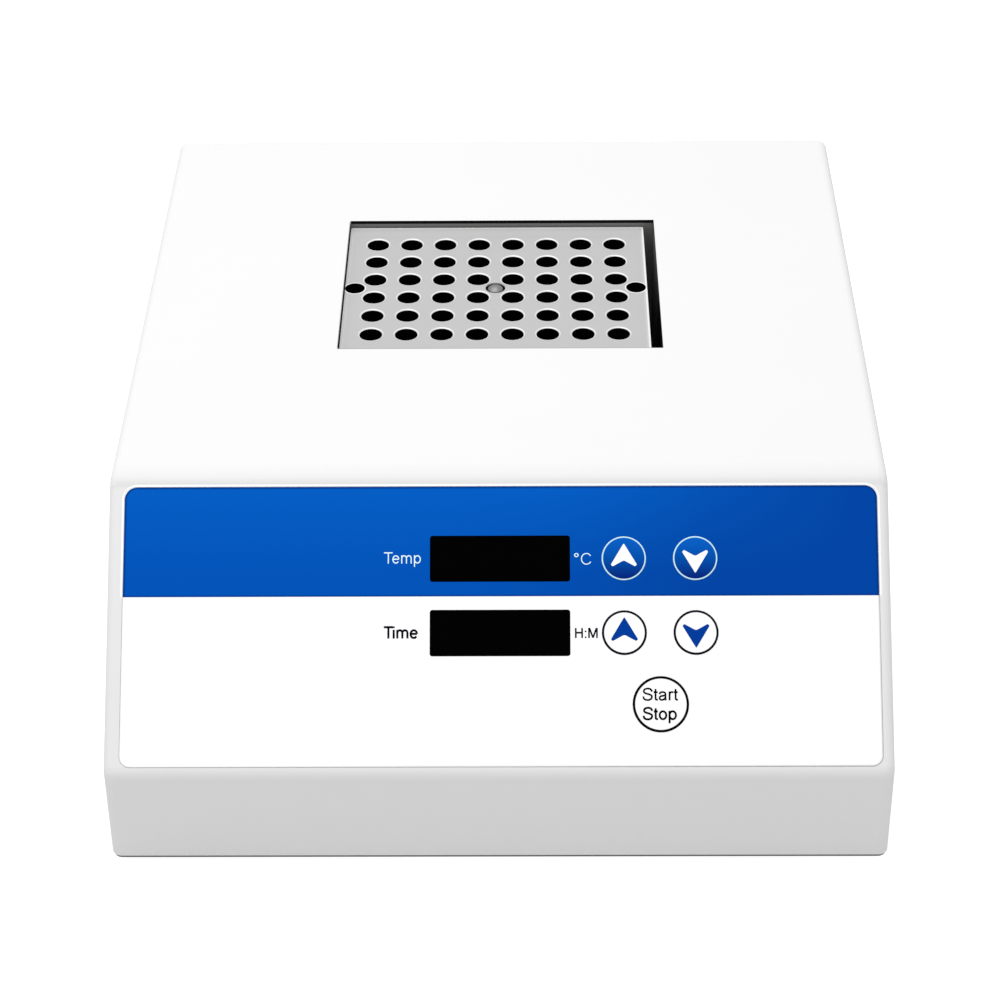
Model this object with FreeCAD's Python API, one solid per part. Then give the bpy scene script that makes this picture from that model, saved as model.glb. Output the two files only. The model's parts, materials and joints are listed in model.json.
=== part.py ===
import FreeCAD, Part

import math
import os

from FreeCAD import Placement, Rotation, Vector

# Dry bath incubator: a moulded housing with a sloping control panel and a lift-out heating block.
# Millimetres. +X is the user's right, +Y runs to the back and +Z is up.
# The origin is on the floor, under the centre of the whole outline.

# Housing
housing_width = 260.7
housing_depth = 309.5
housing_height = 106.15
belt_height = 35.75
panel_angle = 45.0
housing_wall = 3.0
belt_radius = 6.0
crest_radius = 7.0
back_top_radius = 5.0
side_edge_radius = 3.5
boss_radius = 5.0
boss_pilot_radius = 1.6
boss_pilot_depth = 16.0
web_thickness = 2.0
web_height = 24.0
rib_thickness = 2.0
rib_depth = 5.0
rib_offset = 78.0

# Base tray and feet
tray_thickness = 1.5
tray_lip_height = 9.0
tray_corner_radius = 2.5
tray_proud = 1.25
tray_edge_inset = 0.6
tray_gap = 0.3
foot_height = 5.2
foot_radius = 9.0
foot_bottom_radius = 8.0
foot_inset = 24.0
foot_web = 2.4
tray_slot_width = 3.0
tray_slot_length = 34.0
tray_slot_pitch = 8.0
tray_slot_count = 7

# Screws
base_screw_radius = 1.5
base_screw_head_radius = 2.8
base_screw_head_height = 2.0
base_screw_length = 14.0
screw_hole_gap = 0.15
small_screw_radius = 1.25
small_screw_head_radius = 2.3
small_screw_head_height = 1.6

# Rear vents
vent_width = 2.6
vent_height = 26.0
vent_pitch = 7.0
vent_count = 12
vent_from_side = 72.35
vent_below_top = 34.0

# Aperture over the heating block
aperture_width = 116.5
aperture_depth = 91.7
aperture_from_back = 113.6
aperture_corner_radius = 1.2
aperture_lip = 1.0

# Heating block
block_play_across = 4.3
block_play_along = 2.1
block_height = 50.0
block_recess = 2.5
block_left_gap = 0.4
block_back_gap = 1.0
block_corner_radius = 0.6
well_columns = 8
well_rows = 6
well_side_margin = 11.195
well_radius = 4.0
well_depth = 30.0
well_point_angle = 118.0
well_chamfer = 0.5
well_pattern_shift = -0.25
lift_hole_radius = 3.4
lift_hole_depth = 20.0
lift_hole_inset = 3.9
lift_hole_chamfer = 0.2
screw_recess_radius = 3.7
screw_recess_depth = 1.3
block_screw_radius = 1.5
block_screw_gap = 0.1
block_screw_head_radius = 2.8
block_screw_head_rim = 1.0
block_screw_head_dome = 1.2
block_screw_grip = 6.0

# Heater under the block
sleeve_thickness = 1.5
sleeve_edge_gap = 0.2
sleeve_top_gap = 0.2
sleeve_flange_gap = 0.4
plate_thickness = 8.0
plate_gap = 0.3
mat_thickness = 1.5
mat_border = 2.0
pad_thickness = 12.0
jacket_thickness = 9.0
jacket_gap = 0.2
pan_thickness = 1.2
pan_corner_radius = 2.0
spacer_radius = 4.0
spacer_inset = 14.0
spacer_bore_radius = 1.6
spacer_screw_length = 7.0
sensor_radius = 2.0
sensor_depth = 6.0
sensor_gap = 0.1
sensor_shift_x = -30.0
sensor_shift_y = 18.0
cutout_radius = 8.0
cutout_height = 7.0
cutout_cap_radius = 6.0
cutout_cap_height = 2.0
cutout_gap = 0.5
cutout_shift_x = 26.0

# Control panel overlay
overlay_side_margin = 4.85
overlay_below_crest = 3.661
overlay_shift_x = 0.7
overlay_above_belt = 2.5
overlay_thickness = 0.5
overlay_proud = 0.1
overlay_gap = 0.2
overlay_corner_radius = 3.5

# Display windows
window_width = 46.6
window_height = 15.5
window_centre_x = 0.55
temp_row_share = 0.7388
time_row_share = 0.4727
window_gap = 0.1
window_corner_radius = 0.9
window_flange = 2.0
window_flange_thickness = 0.8

# Keys
key_radius = 7.35
start_key_radius = 9.2
up_key_x = 41.7
down_key_x = 65.4
start_key_x = 53.5
start_row_share = 0.2184
key_gap = 0.12
key_proud = 0.2
key_flange = 1.0
key_flange_thickness = 0.6
key_flange_gap = 0.1
key_edge_chamfer = 0.15
key_travel = 0.4
key_rest_gap = 0.3
key_stem_radius = 2.5
key_stem_gap = 0.3
plunger_radius = 1.7
plunger_gap = 0.2
plunger_show = 1.2
plunger_depth = 0.9
switch_side = 6.2
switch_height = 4.0

# Display board
board_gap = 7.0
board_thickness = 1.6
display_board_width = 132.0
display_board_border = 6.7
display_board_x = 18.0
display_board_drop = 1.7
board_screw_inset = 4.5
panel_post_radius = 3.4
module_gap = 0.6
module_setback = 0.3
buzzer_radius = 6.0
buzzer_height = 9.0
buzzer_inset = 20.0
header_length = 20.0
header_width = 6.0
header_height = 8.0
display_header_x = 0.0
display_header_row = 16.0

# Control board
control_board_width = 118.0
control_board_depth = 62.0
control_board_from_belt = 76.0
control_board_x = -12.0
control_board_lift = 8.0
board_spacer_radius = 3.0
relay_length = 19.0
relay_width = 15.5
relay_height = 15.5
capacitor_radius = 6.5
capacitor_height = 14.0
terminal_length = 30.0
terminal_width = 9.0
terminal_height = 11.0
board_part_inset = 14.0

# Transformer
core_length = 42.0
core_depth = 20.0
core_height = 36.0
core_window = 8.0
core_leg = 7.0
coil_wall = 7.0
coil_gap = 0.2
core_foot_length = 56.0
core_foot_thickness = 1.5
transformer_from_side = 64.35
transformer_from_back = 28.0

# Heat sink and triac
heatsink_length = 48.0
heatsink_width = 26.0
heatsink_base = 4.0
heatsink_fin_height = 22.0
heatsink_fin_thickness = 1.6
heatsink_fin_count = 6
heatsink_from_side = 30.0
heatsink_ahead = 26.0
triac_length = 15.0
triac_width = 10.0
triac_height = 4.5
triac_gap = 1.0

# Mains inlet with its fuse drawer
inlet_from_side = 56.0
inlet_above_rim = 40.0
inlet_flange_width = 31.0
inlet_flange_height = 50.0
inlet_flange_thickness = 2.0
inlet_flange_radius = 3.0
inlet_body_width = 27.4
inlet_body_height = 38.0
inlet_body_length = 27.0
inlet_hole_gap = 0.3
socket_width = 24.2
socket_height = 16.6
socket_depth = 17.0
socket_corner = 5.0
socket_below_centre = 7.6
pin_width = 2.0
pin_height = 4.0
pin_spacing = 14.0
pin_setback = 1.5
pin_offset = 2.0
pin_tail = 8.0
drawer_width = 23.0
drawer_height = 9.6
drawer_length = 20.0
drawer_gap = 0.3
drawer_above_centre = 10.6
drawer_front_thickness = 1.6
drawer_travel = 18.0
fuse_radius = 2.6
fuse_length = 20.0
fuse_gap = 0.2
fuse_setback = 6.0
fuse_spacing = 7.2
inlet_screw_clear = 3.0

# Power switch
switch_from_inlet = 38.0
bezel_width = 15.0
bezel_height = 21.0
bezel_thickness = 2.0
bezel_radius = 1.5
power_body_width = 12.8
power_body_height = 19.0
power_body_length = 15.0
rocker_width = 10.4
rocker_radius = 8.4
rocker_gap = 0.3
rocker_depth = 5.0
rocker_tilt = 9.0
rocker_rise = 2.4
pivot_radius = 1.2
pivot_length = 0.8
pivot_gap = 0.08
pivot_inside = 1.5
tab_width = 4.8
tab_thickness = 0.8
tab_length = 8.0

# Wiring
wire_radius = 1.1
wire_spacing = 4.0
wire_stub = 16.0
wire_sweep = 46.0
wire_floor_gap = 6.0
wire_side_gap = 20.0
thin_wire_radius = 0.8
lead_stub = 11.0
lead_sweep = 24.0
lead_arch = 14.0
ribbon_width = 16.0
ribbon_thickness = 1.0
ribbon_stub = 8.0

# Levels and places worked out from the values above
angle = math.radians(panel_angle)
panel_rise = housing_height - belt_height
panel_run = panel_rise / math.tan(angle)
rocker_peak = pivot_inside + rocker_rise
rocker_reach = bezel_thickness - pivot_inside + rocker_peak * math.cos(math.radians(rocker_tilt))
rear_proud = max(inlet_flange_thickness, rocker_reach)
front_y = -(housing_depth + rear_proud) / 2
back_y = front_y + housing_depth
half_width = housing_width / 2
tray_z = foot_height
tray_top_z = tray_z + tray_thickness
rim_z = tray_z + tray_proud
belt_z = rim_z + belt_height
top_z = rim_z + housing_height
ceiling_z = top_z - housing_wall
lip_z = top_z - aperture_lip
aperture_y = back_y - aperture_from_back
block_width = aperture_width - block_play_across
block_depth = aperture_depth - block_play_along
well_pitch = (block_width - 2 * well_side_margin) / (well_columns - 1)
lift_hole_spacing = block_width - 2 * lift_hole_inset
block_top_z = top_z - block_recess
block_bottom_z = block_top_z - block_height
block_x = -aperture_width / 2 + block_left_gap + block_width / 2
block_y = aperture_y + aperture_depth / 2 - block_back_gap - block_depth / 2
pattern_x = block_x + well_pattern_shift
plate_bottom_z = block_bottom_z - plate_thickness
mat_bottom_z = plate_bottom_z - mat_thickness
pan_floor_z = mat_bottom_z - pad_thickness
pan_bottom_z = pan_floor_z - pan_thickness
sleeve_inner_width = aperture_width + 2 * sleeve_edge_gap
sleeve_inner_depth = aperture_depth + 2 * sleeve_edge_gap
sleeve_outer_width = sleeve_inner_width + 2 * sleeve_thickness
sleeve_outer_depth = sleeve_inner_depth + 2 * sleeve_thickness
flange_top_z = ceiling_z - sleeve_flange_gap
flange_bottom_z = flange_top_z - sleeve_thickness
pan_inner_width = sleeve_outer_width + 2 * (jacket_thickness + 2 * jacket_gap)
pan_inner_depth = sleeve_outer_depth + 2 * (jacket_thickness + 2 * jacket_gap)
pan_outer_width = pan_inner_width + 2 * pan_thickness
pan_outer_depth = pan_inner_depth + 2 * pan_thickness
panel_frame = Placement(Vector(0, front_y, belt_z), Rotation(Vector(1, 0, 0), panel_angle))
overlay_bottom_w = overlay_proud - overlay_thickness
overlay_width = housing_width - 2 * overlay_side_margin
overlay_height = panel_rise / math.sin(angle) - overlay_above_belt - overlay_below_crest
overlay_row = overlay_above_belt + overlay_height / 2
temp_row = overlay_above_belt + temp_row_share * overlay_height
time_row = overlay_above_belt + time_row_share * overlay_height
start_row = overlay_above_belt + start_row_share * overlay_height
display_board_height = overlay_height - 2 * display_board_border
display_board_row = overlay_row - display_board_drop
board_w = -housing_wall - board_gap
buzzer_x = display_board_x - display_board_width / 2 + buzzer_inset
board_back_w = board_w - board_thickness
window_pocket_w = overlay_bottom_w - window_flange_thickness
key_flange_top_w = overlay_bottom_w - key_flange_gap
key_bottom_w = key_flange_top_w - key_flange_thickness
key_pocket_w = key_bottom_w - key_travel - key_rest_gap
switch_top_w = board_w + switch_height
plunger_top_w = switch_top_w + plunger_show
plunger_bottom_w = switch_top_w - plunger_depth
control_board_y = front_y + control_board_from_belt
control_board_z = tray_top_z + control_board_lift
control_board_top_z = control_board_z + board_thickness
inlet_x = half_width - inlet_from_side
inlet_z = rim_z + inlet_above_rim
inlet_face_y = back_y + inlet_flange_thickness
inlet_screw_spacing = inlet_body_height + 2 * inlet_screw_clear
socket_z = inlet_z - socket_below_centre
drawer_z = inlet_z + drawer_above_centre
power_x = inlet_x - switch_from_inlet
power_z = inlet_z
bezel_face_y = back_y + bezel_thickness
pivot_y = bezel_face_y - pivot_inside
heatsink_x = -half_width + heatsink_from_side
heatsink_y = aperture_y - heatsink_ahead
triac_y = heatsink_y - heatsink_length / 2 - triac_gap - triac_height / 2
transformer_x = -half_width + transformer_from_side
transformer_y = back_y - transformer_from_back
vent_centre_x = -half_width + vent_from_side
keys = {
    "temp_up": (up_key_x, temp_row, key_radius),
    "temp_down": (down_key_x, temp_row, key_radius),
    "time_up": (up_key_x, time_row, key_radius),
    "time_down": (down_key_x, time_row, key_radius),
    "start_stop": (start_key_x, start_row, start_key_radius),
}
windows = {"temp": temp_row, "time": time_row}


def box(x0, x1, y0, y1, z0, z1):
    return Part.makeBox(x1 - x0, y1 - y0, z1 - z0, Vector(x0, y0, z0))


def centred_box(x, y, width, depth, z0, z1):
    return box(x - width / 2, x + width / 2, y - depth / 2, y + depth / 2, z0, z1)


def post(x, y, radius, z0, z1):
    return Part.makeCylinder(radius, z1 - z0, Vector(x, y, z0))


def along_y(x, z, radius, y0, y1):
    return Part.makeCylinder(radius, y1 - y0, Vector(x, y0, z), Vector(0, 1, 0))


def along_x(y, z, radius, x0, x1):
    return Part.makeCylinder(radius, x1 - x0, Vector(x0, y, z), Vector(1, 0, 0))


def rounded_path(points, radii, closed):
    """Straight runs joined by tangent arcs, one radius for each corner."""
    count = len(points)
    corners = range(count) if closed else range(1, count - 1)
    arcs = {}
    for i in corners:
        before = (points[i - 1] - points[i]).normalize()
        after = (points[(i + 1) % count] - points[i]).normalize()
        turn = math.pi - before.getAngle(after)
        if radii[i] <= 0 or turn < 1e-6:
            continue
        reach = radii[i] * math.tan(turn / 2)
        inward = (before + after).normalize()
        middle = points[i] + inward * (radii[i] / math.cos(turn / 2) - radii[i])
        arcs[i] = (points[i] + before * reach, middle, points[i] + after * reach)
    edges = []
    for i in range(count if closed else count - 1):
        j = (i + 1) % count
        start = arcs[i][2] if i in arcs else points[i]
        end = arcs[j][0] if j in arcs else points[j]
        if (end - start).Length > 1e-6:
            edges.append(Part.LineSegment(start, end).toShape())
        if j in arcs:
            edges.append(Part.Arc(*arcs[j]).toShape())
    return Part.Wire(Part.__sortEdges__(edges))


def rounded_block(x, y, width, depth, z0, z1, radius):
    """An upright block with rounded corners in plan."""
    corners = [
        Vector(x + sx * width / 2, y + sy * depth / 2, z0)
        for sx, sy in ((-1, -1), (1, -1), (1, 1), (-1, 1))
    ]
    face = Part.Face(rounded_path(corners, [radius] * 4, True))
    return face.extrude(Vector(0, 0, z1 - z0))


def on_panel(shape):
    """Carries a shape from the panel's own frame (across, up the slope, outward) to its place."""
    placed = shape.copy()
    placed.Placement = panel_frame.multiply(shape.Placement)
    return placed


def group(shapes):
    return Part.makeCompound(shapes)


def save(node, shape):
    shape.exportStep("parts/" + node + ".step")
    print(node, "solids", len(shape.Solids), "volume", round(shape.Volume, 1), shape.isValid())


def tube(points, radius):
    """A round lead along a route, each bend as large as its two runs allow."""
    radii = [0.0] * len(points)
    for i in range(1, len(points) - 1):
        into = points[i] - points[i - 1]
        out = points[i + 1] - points[i]
        turn = into.getAngle(out)
        shorter = min(into.Length, out.Length)
        radii[i] = 0.45 * shorter / math.tan(turn / 2)
    path = rounded_path(points, radii, False)
    print("  lead bends", [round(r, 1) for r in radii[1:-1]])
    start = Part.Wire(Part.makeCircle(radius, points[0], points[1] - points[0]))
    return path.makePipeShell([start], True, False)


def side_profile(inset):
    """The housing's outline seen from the side, drawn in by a wall thickness."""
    slant = inset / math.cos(angle)
    top = top_z - inset
    floor = rim_z - (1.0 if inset else 0.0)
    front = front_y + inset
    back = back_y - inset
    belt = belt_z + inset * math.tan(angle) - slant
    crest = front_y + (top - belt_z + slant) / math.tan(angle)
    points = [(front, floor), (front, belt), (crest, top), (back, top), (back, floor)]
    radii = [0, belt_radius - inset, crest_radius - inset, back_top_radius - inset, 0]
    half = half_width - inset
    path = rounded_path([Vector(-half, y, z) for y, z in points], radii, True)
    return Part.Face(path).extrude(Vector(2 * half, 0, 0))


def outer_body():
    body = side_profile(0)
    edges = [
        e
        for e in body.Edges
        if abs(abs(e.BoundBox.Center.x) - half_width) < 1e-3
        and e.BoundBox.XLength < 1e-3
        and e.BoundBox.ZMax > rim_z + 1e-3
    ]
    return body.makeFillet(side_edge_radius, edges)


def foot_places():
    return {
        "front_left": (-half_width + foot_inset, front_y + foot_inset),
        "front_right": (half_width - foot_inset, front_y + foot_inset),
        "rear_left": (-half_width + foot_inset, back_y - foot_inset),
        "rear_right": (half_width - foot_inset, back_y - foot_inset),
    }


def housing_bosses():
    """Corner bosses for the base screws, each tied to the side wall by a web."""
    pieces = []
    for x, y in foot_places().values():
        pieces.append(post(x, y, boss_radius, tray_top_z, top_z))
        wall_x = math.copysign(half_width, x)
        low, high = sorted((x, wall_x))
        web_low = tray_z + tray_lip_height + tray_gap
        pieces.append(
            box(low, high, y - web_thickness / 2, y + web_thickness / 2, web_low, web_low + web_height)
        )
    return pieces


def ceiling_ribs():
    """Stiffening ribs under the top, either side of the aperture."""
    ribs = []
    for x in (-rib_offset, rib_offset):
        ribs.append(
            box(
                x - rib_thickness / 2,
                x + rib_thickness / 2,
                front_y + panel_run,
                back_y - housing_wall / 2,
                ceiling_z - rib_depth,
                top_z - housing_wall / 2,
            )
        )
    return ribs


def display_board_corners():
    across = display_board_width / 2 - board_screw_inset
    up = display_board_height / 2 - board_screw_inset
    return [
        (display_board_x + sx * across, display_board_row + sy * up)
        for sx, sy in ((-1, -1), (1, -1), (1, 1), (-1, 1))
    ]


def panel_posts():
    return [
        on_panel(post(x, u, panel_post_radius, board_w, -housing_wall / 2))
        for x, u in display_board_corners()
    ]


def panel_cuts():
    """The overlay's seat, the window pockets and the key pockets in the sloping wall."""
    above = 1.0
    cuts = [
        rounded_block(
            overlay_shift_x,
            overlay_row,
            overlay_width + 2 * overlay_gap,
            overlay_height + 2 * overlay_gap,
            overlay_bottom_w,
            above,
            overlay_corner_radius + overlay_gap,
        )
    ]
    for row in windows.values():
        flange_width = window_width + 2 * (window_flange + window_gap)
        flange_height = window_height + 2 * (window_flange + window_gap)
        cuts.append(
            centred_box(window_centre_x, row, flange_width, flange_height, window_pocket_w, above)
        )
        cuts.append(
            centred_box(window_centre_x, row, window_width, window_height, -2 * housing_wall, above)
        )
    for x, row, radius in keys.values():
        cuts.append(post(x, row, radius + key_flange + key_gap, key_pocket_w, above))
        cuts.append(post(x, row, key_stem_radius + key_stem_gap, -2 * housing_wall, above))
    for x, u in display_board_corners():
        cuts.append(post(x, u, small_screw_radius + screw_hole_gap, board_w - above, -housing_wall))
    return [on_panel(c) for c in cuts]


def aperture_cuts():
    """The opening over the block, rebated below so that the sleeve comes up behind a thin lip."""
    through = rounded_block(
        0,
        aperture_y,
        aperture_width,
        aperture_depth,
        ceiling_z - 2 * rib_depth,
        top_z + 1,
        aperture_corner_radius,
    )
    rebate = centred_box(
        0,
        aperture_y,
        sleeve_outer_width + 2 * sleeve_flange_gap,
        sleeve_outer_depth + 2 * sleeve_flange_gap,
        ceiling_z - 2 * rib_depth,
        lip_z,
    )
    return [through, rebate]


def rear_cuts():
    """The vents and the holes for the mains inlet and the switch."""
    wall_front = back_y - 2 * housing_wall
    wall_back = back_y + 1
    cuts = []
    first = vent_centre_x - vent_pitch * (vent_count - 1) / 2
    high = top_z - vent_below_top + vent_height / 2
    for i in range(vent_count):
        x = first + i * vent_pitch
        slot = box(
            x - vent_width / 2,
            x + vent_width / 2,
            wall_front,
            wall_back,
            high - vent_height + vent_width / 2,
            high - vent_width / 2,
        )
        ends = [
            along_y(x, z, vent_width / 2, wall_front, wall_back)
            for z in (high - vent_width / 2, high - vent_height + vent_width / 2)
        ]
        cuts.append(slot.fuse(ends).removeSplitter())
    gap = inlet_hole_gap
    cuts.append(
        box(
            inlet_x - inlet_body_width / 2 - gap,
            inlet_x + inlet_body_width / 2 + gap,
            wall_front,
            wall_back,
            inlet_z - inlet_body_height / 2 - gap,
            inlet_z + inlet_body_height / 2 + gap,
        )
    )
    cuts.append(
        box(
            power_x - power_body_width / 2 - gap,
            power_x + power_body_width / 2 + gap,
            wall_front,
            wall_back,
            power_z - power_body_height / 2 - gap,
            power_z + power_body_height / 2 + gap,
        )
    )
    for side in (-1, 1):
        z = inlet_z + side * inlet_screw_spacing / 2
        cuts.append(along_y(inlet_x, z, small_screw_radius + screw_hole_gap, wall_front, wall_back))
    return cuts


def make_upper_housing():
    outer = outer_body()
    shell = outer.cut(side_profile(housing_wall))
    inside = [p.common(outer) for p in housing_bosses() + ceiling_ribs() + panel_posts()]
    shell = shell.fuse(inside)
    pilots = [
        post(x, y, boss_pilot_radius, tray_top_z - 1, tray_top_z + boss_pilot_depth)
        for x, y in foot_places().values()
    ]
    shell = shell.cut(panel_cuts() + aperture_cuts() + rear_cuts() + pilots)
    save("upper_housing", shell.removeSplitter())


def tray_slots(z0, z1):
    """Two rows of air slots, under the control board and behind the heater."""
    cuts = []
    rows = (front_y + control_board_from_belt, back_y - foot_inset - tray_slot_length / 2)
    for row in rows:
        for i in range(tray_slot_count):
            x = (i - (tray_slot_count - 1) / 2) * tray_slot_pitch
            cuts.append(centred_box(x, row, tray_slot_width, tray_slot_length, z0, z1))
    return cuts


def make_base_tray():
    """A tray that closes the housing from below: a lip inside the walls and an edge under the rim."""
    width = housing_width - 2 * (housing_wall + tray_gap)
    depth = housing_depth - 2 * (housing_wall + tray_gap)
    y = front_y + housing_depth / 2
    sheet = rounded_block(0, y, width, depth, tray_z, tray_z + tray_lip_height, tray_corner_radius)
    edge = rounded_block(
        0,
        y,
        housing_width - 2 * tray_edge_inset,
        housing_depth - 2 * tray_edge_inset,
        tray_z,
        rim_z,
        side_edge_radius - tray_edge_inset,
    )
    hollow = rounded_block(
        0,
        y,
        width - 2 * tray_thickness,
        depth - 2 * tray_thickness,
        tray_top_z,
        tray_z + tray_lip_height + 1,
        tray_corner_radius - tray_thickness,
    )
    holes = [
        post(x, y0, base_screw_radius + screw_hole_gap, tray_z - 1, tray_top_z + 1)
        for x, y0 in foot_places().values()
    ]
    holes += [
        post(x, y0, spacer_bore_radius, tray_z - 1, tray_top_z + 1) for x, y0 in spacer_places()
    ]
    tray = sheet.fuse(edge).cut([hollow] + holes + tray_slots(tray_z - 1, tray_top_z + 1))
    save("base_tray", tray.removeSplitter())


def make_feet():
    """Turned rubber feet, hollow below for the head of the screw that holds them."""
    head_room = base_screw_head_radius + 4 * screw_hole_gap
    for name, (x, y) in foot_places().items():
        foot = Part.makeCone(foot_bottom_radius, foot_radius, foot_height, Vector(x, y, 0))
        recess = post(x, y, head_room, -1, foot_height - foot_web)
        hole = post(x, y, base_screw_radius + screw_hole_gap, 0, foot_height + 1)
        save("foot_" + name, foot.cut([recess, hole]))


def make_base_screws():
    screws = []
    seat = foot_height - foot_web
    for x, y in foot_places().values():
        head = post(x, y, base_screw_head_radius, seat - base_screw_head_height, seat)
        shank = post(x, y, base_screw_radius, seat, seat + base_screw_length)
        screws.append(head.fuse(shank))
    save("base_screws", group(screws))


def make_panel_overlay():
    film = rounded_block(
        overlay_shift_x,
        overlay_row,
        overlay_width,
        overlay_height,
        overlay_bottom_w,
        overlay_proud,
        overlay_corner_radius,
    )
    below = overlay_bottom_w - 1
    above = overlay_proud + 1
    cuts = [
        rounded_block(
            window_centre_x, row, window_width, window_height, below, above, window_corner_radius
        )
        for row in windows.values()
    ]
    cuts += [post(x, row, radius + key_gap, below, above) for x, row, radius in keys.values()]
    save("panel_overlay", on_panel(film.cut(cuts)))


def make_windows():
    """Smoked lenses, each with a flange that lies under the film."""
    width = window_width - 2 * window_gap
    height = window_height - 2 * window_gap
    for name, row in windows.items():
        lens = rounded_block(
            window_centre_x,
            row,
            width,
            height,
            overlay_bottom_w,
            overlay_proud,
            window_corner_radius,
        )
        flange = centred_box(
            window_centre_x,
            row,
            window_width + 2 * window_flange,
            window_height + 2 * window_flange,
            window_pocket_w,
            overlay_bottom_w,
        )
        save(name + "_display_window", on_panel(lens.fuse(flange).removeSplitter()))


def make_keys():
    """Round keys held under the film by a flange, each pushing a switch plunger by its stem."""
    for name, (x, row, radius) in keys.items():
        edge_w = overlay_proud + key_proud - key_edge_chamfer
        cap = post(x, row, radius, key_flange_top_w, edge_w)
        bevel = Part.makeCone(
            radius, radius - key_edge_chamfer, key_edge_chamfer, Vector(x, row, edge_w)
        )
        flange = post(x, row, radius + key_flange, key_bottom_w, key_flange_top_w)
        stem = post(x, row, key_stem_radius, plunger_top_w, key_bottom_w)
        save(name + "_key", on_panel(cap.fuse([bevel, flange, stem]).removeSplitter()))
        plunger = post(x, row, plunger_radius, plunger_bottom_w, plunger_top_w)
        save(name + "_plunger", on_panel(plunger))


def make_key_switches():
    bodies = []
    for x, row, _ in keys.values():
        body = centred_box(x, row, switch_side, switch_side, board_w, switch_top_w)
        well = post(x, row, plunger_radius + plunger_gap, board_w + 1, switch_top_w + 1)
        bodies.append(on_panel(body.cut(well)))
    save("key_switches", group(bodies))


def make_display_board():
    board = centred_box(
        display_board_x,
        display_board_row,
        display_board_width,
        display_board_height,
        board_back_w,
        board_w,
    )
    holes = [
        post(x, u, small_screw_radius + screw_hole_gap, board_back_w - 1, board_w + 1)
        for x, u in display_board_corners()
    ]
    header = centred_box(
        display_header_x,
        display_header_row,
        header_length,
        header_width,
        board_back_w - header_height,
        board_back_w,
    )
    save("display_board", on_panel(board.cut(holes).fuse(header)))
    screws = []
    for x, u in display_board_corners():
        head = post(
            x, u, small_screw_head_radius, board_back_w - small_screw_head_height, board_back_w
        )
        shank = post(x, u, small_screw_radius, board_back_w, -housing_wall - 1)
        screws.append(on_panel(head.fuse(shank)))
    save("display_board_screws", group(screws))


def make_display_modules():
    """Four-digit modules that stand on the board and reach into the wall behind each window."""
    face_w = window_pocket_w - module_setback
    for name, row in windows.items():
        module = centred_box(
            window_centre_x,
            row,
            window_width - 2 * module_gap,
            window_height - 2 * module_gap,
            board_w,
            face_w,
        )
        save(name + "_display_module", on_panel(module))


def make_buzzer():
    can = post(buzzer_x, temp_row, buzzer_radius, board_back_w - buzzer_height, board_back_w)
    port = post(
        buzzer_x,
        temp_row,
        buzzer_radius / 4,
        board_back_w - buzzer_height - 1,
        board_back_w - buzzer_height / 2,
    )
    save("buzzer", on_panel(can.cut(port)))


def well_places():
    return [
        (
            pattern_x + (i - (well_columns - 1) / 2) * well_pitch,
            block_y + (j - (well_rows - 1) / 2) * well_pitch,
        )
        for j in range(well_rows)
        for i in range(well_columns)
    ]


def drilled_hole(x, y, radius, depth, chamfer, point_angle):
    """A drilled hole as a turned cutter: chamfered mouth, straight wall and drill point."""
    point = radius / math.tan(math.radians(point_angle / 2))
    over = 1.0
    outline = [
        Vector(x, y, block_top_z + over),
        Vector(x + radius + chamfer + over, y, block_top_z + over),
        Vector(x + radius, y, block_top_z - chamfer),
        Vector(x + radius, y, block_top_z - depth),
        Vector(x, y, block_top_z - depth - point),
    ]
    face = Part.Face(Part.makePolygon(outline + [outline[0]]))
    return face.revolve(Vector(x, y, 0), Vector(0, 0, 1), 360)


def make_heating_block():
    """A milled aluminium block: a grid of tube wells, two lifting holes and the screw's recess."""
    block = rounded_block(
        block_x,
        block_y,
        block_width,
        block_depth,
        block_bottom_z,
        block_top_z,
        block_corner_radius,
    )
    cuts = [
        drilled_hole(x, y, well_radius, well_depth, well_chamfer, well_point_angle)
        for x, y in well_places()
    ]
    for side in (-1, 1):
        x = pattern_x + side * lift_hole_spacing / 2
        cuts.append(
            drilled_hole(
                x, block_y, lift_hole_radius, lift_hole_depth, lift_hole_chamfer, well_point_angle
            )
        )
    recess_floor = block_top_z - screw_recess_depth
    cuts.append(post(pattern_x, block_y, screw_recess_radius, recess_floor, block_top_z + 1))
    shank_hole = block_screw_radius + block_screw_gap
    cuts.append(post(pattern_x, block_y, shank_hole, block_bottom_z - 1, block_top_z))
    save("heating_block", block.cut(cuts))


def make_block_screw():
    """The domed screw that clamps the block to the heater plate."""
    seat = block_top_z - screw_recess_depth
    rim = seat + block_screw_head_rim
    radius = block_screw_head_radius
    crown = rim + block_screw_head_dome
    tip = block_bottom_z - block_screw_grip
    shank = block_screw_radius
    dome_radius = (radius**2 + block_screw_head_dome**2) / (2 * block_screw_head_dome)
    half_turn = math.asin(radius / dome_radius) / 2
    shoulder = Vector(
        pattern_x + dome_radius * math.sin(half_turn),
        block_y,
        crown - dome_radius * (1 - math.cos(half_turn)),
    )
    dome = Part.Arc(Vector(pattern_x + radius, block_y, rim), shoulder, Vector(pattern_x, block_y, crown))
    corners = [
        Vector(pattern_x, block_y, crown),
        Vector(pattern_x, block_y, tip),
        Vector(pattern_x + shank, block_y, tip),
        Vector(pattern_x + shank, block_y, seat),
        Vector(pattern_x + radius, block_y, seat),
        Vector(pattern_x + radius, block_y, rim),
    ]
    lines = [Part.makeLine(a, b) for a, b in zip(corners, corners[1:])]
    wire = Part.Wire(Part.__sortEdges__(lines + [dome.toShape()]))
    save("block_screw", Part.Face(wire).revolve(Vector(pattern_x, block_y, 0), Vector(0, 0, 1), 360))


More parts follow.
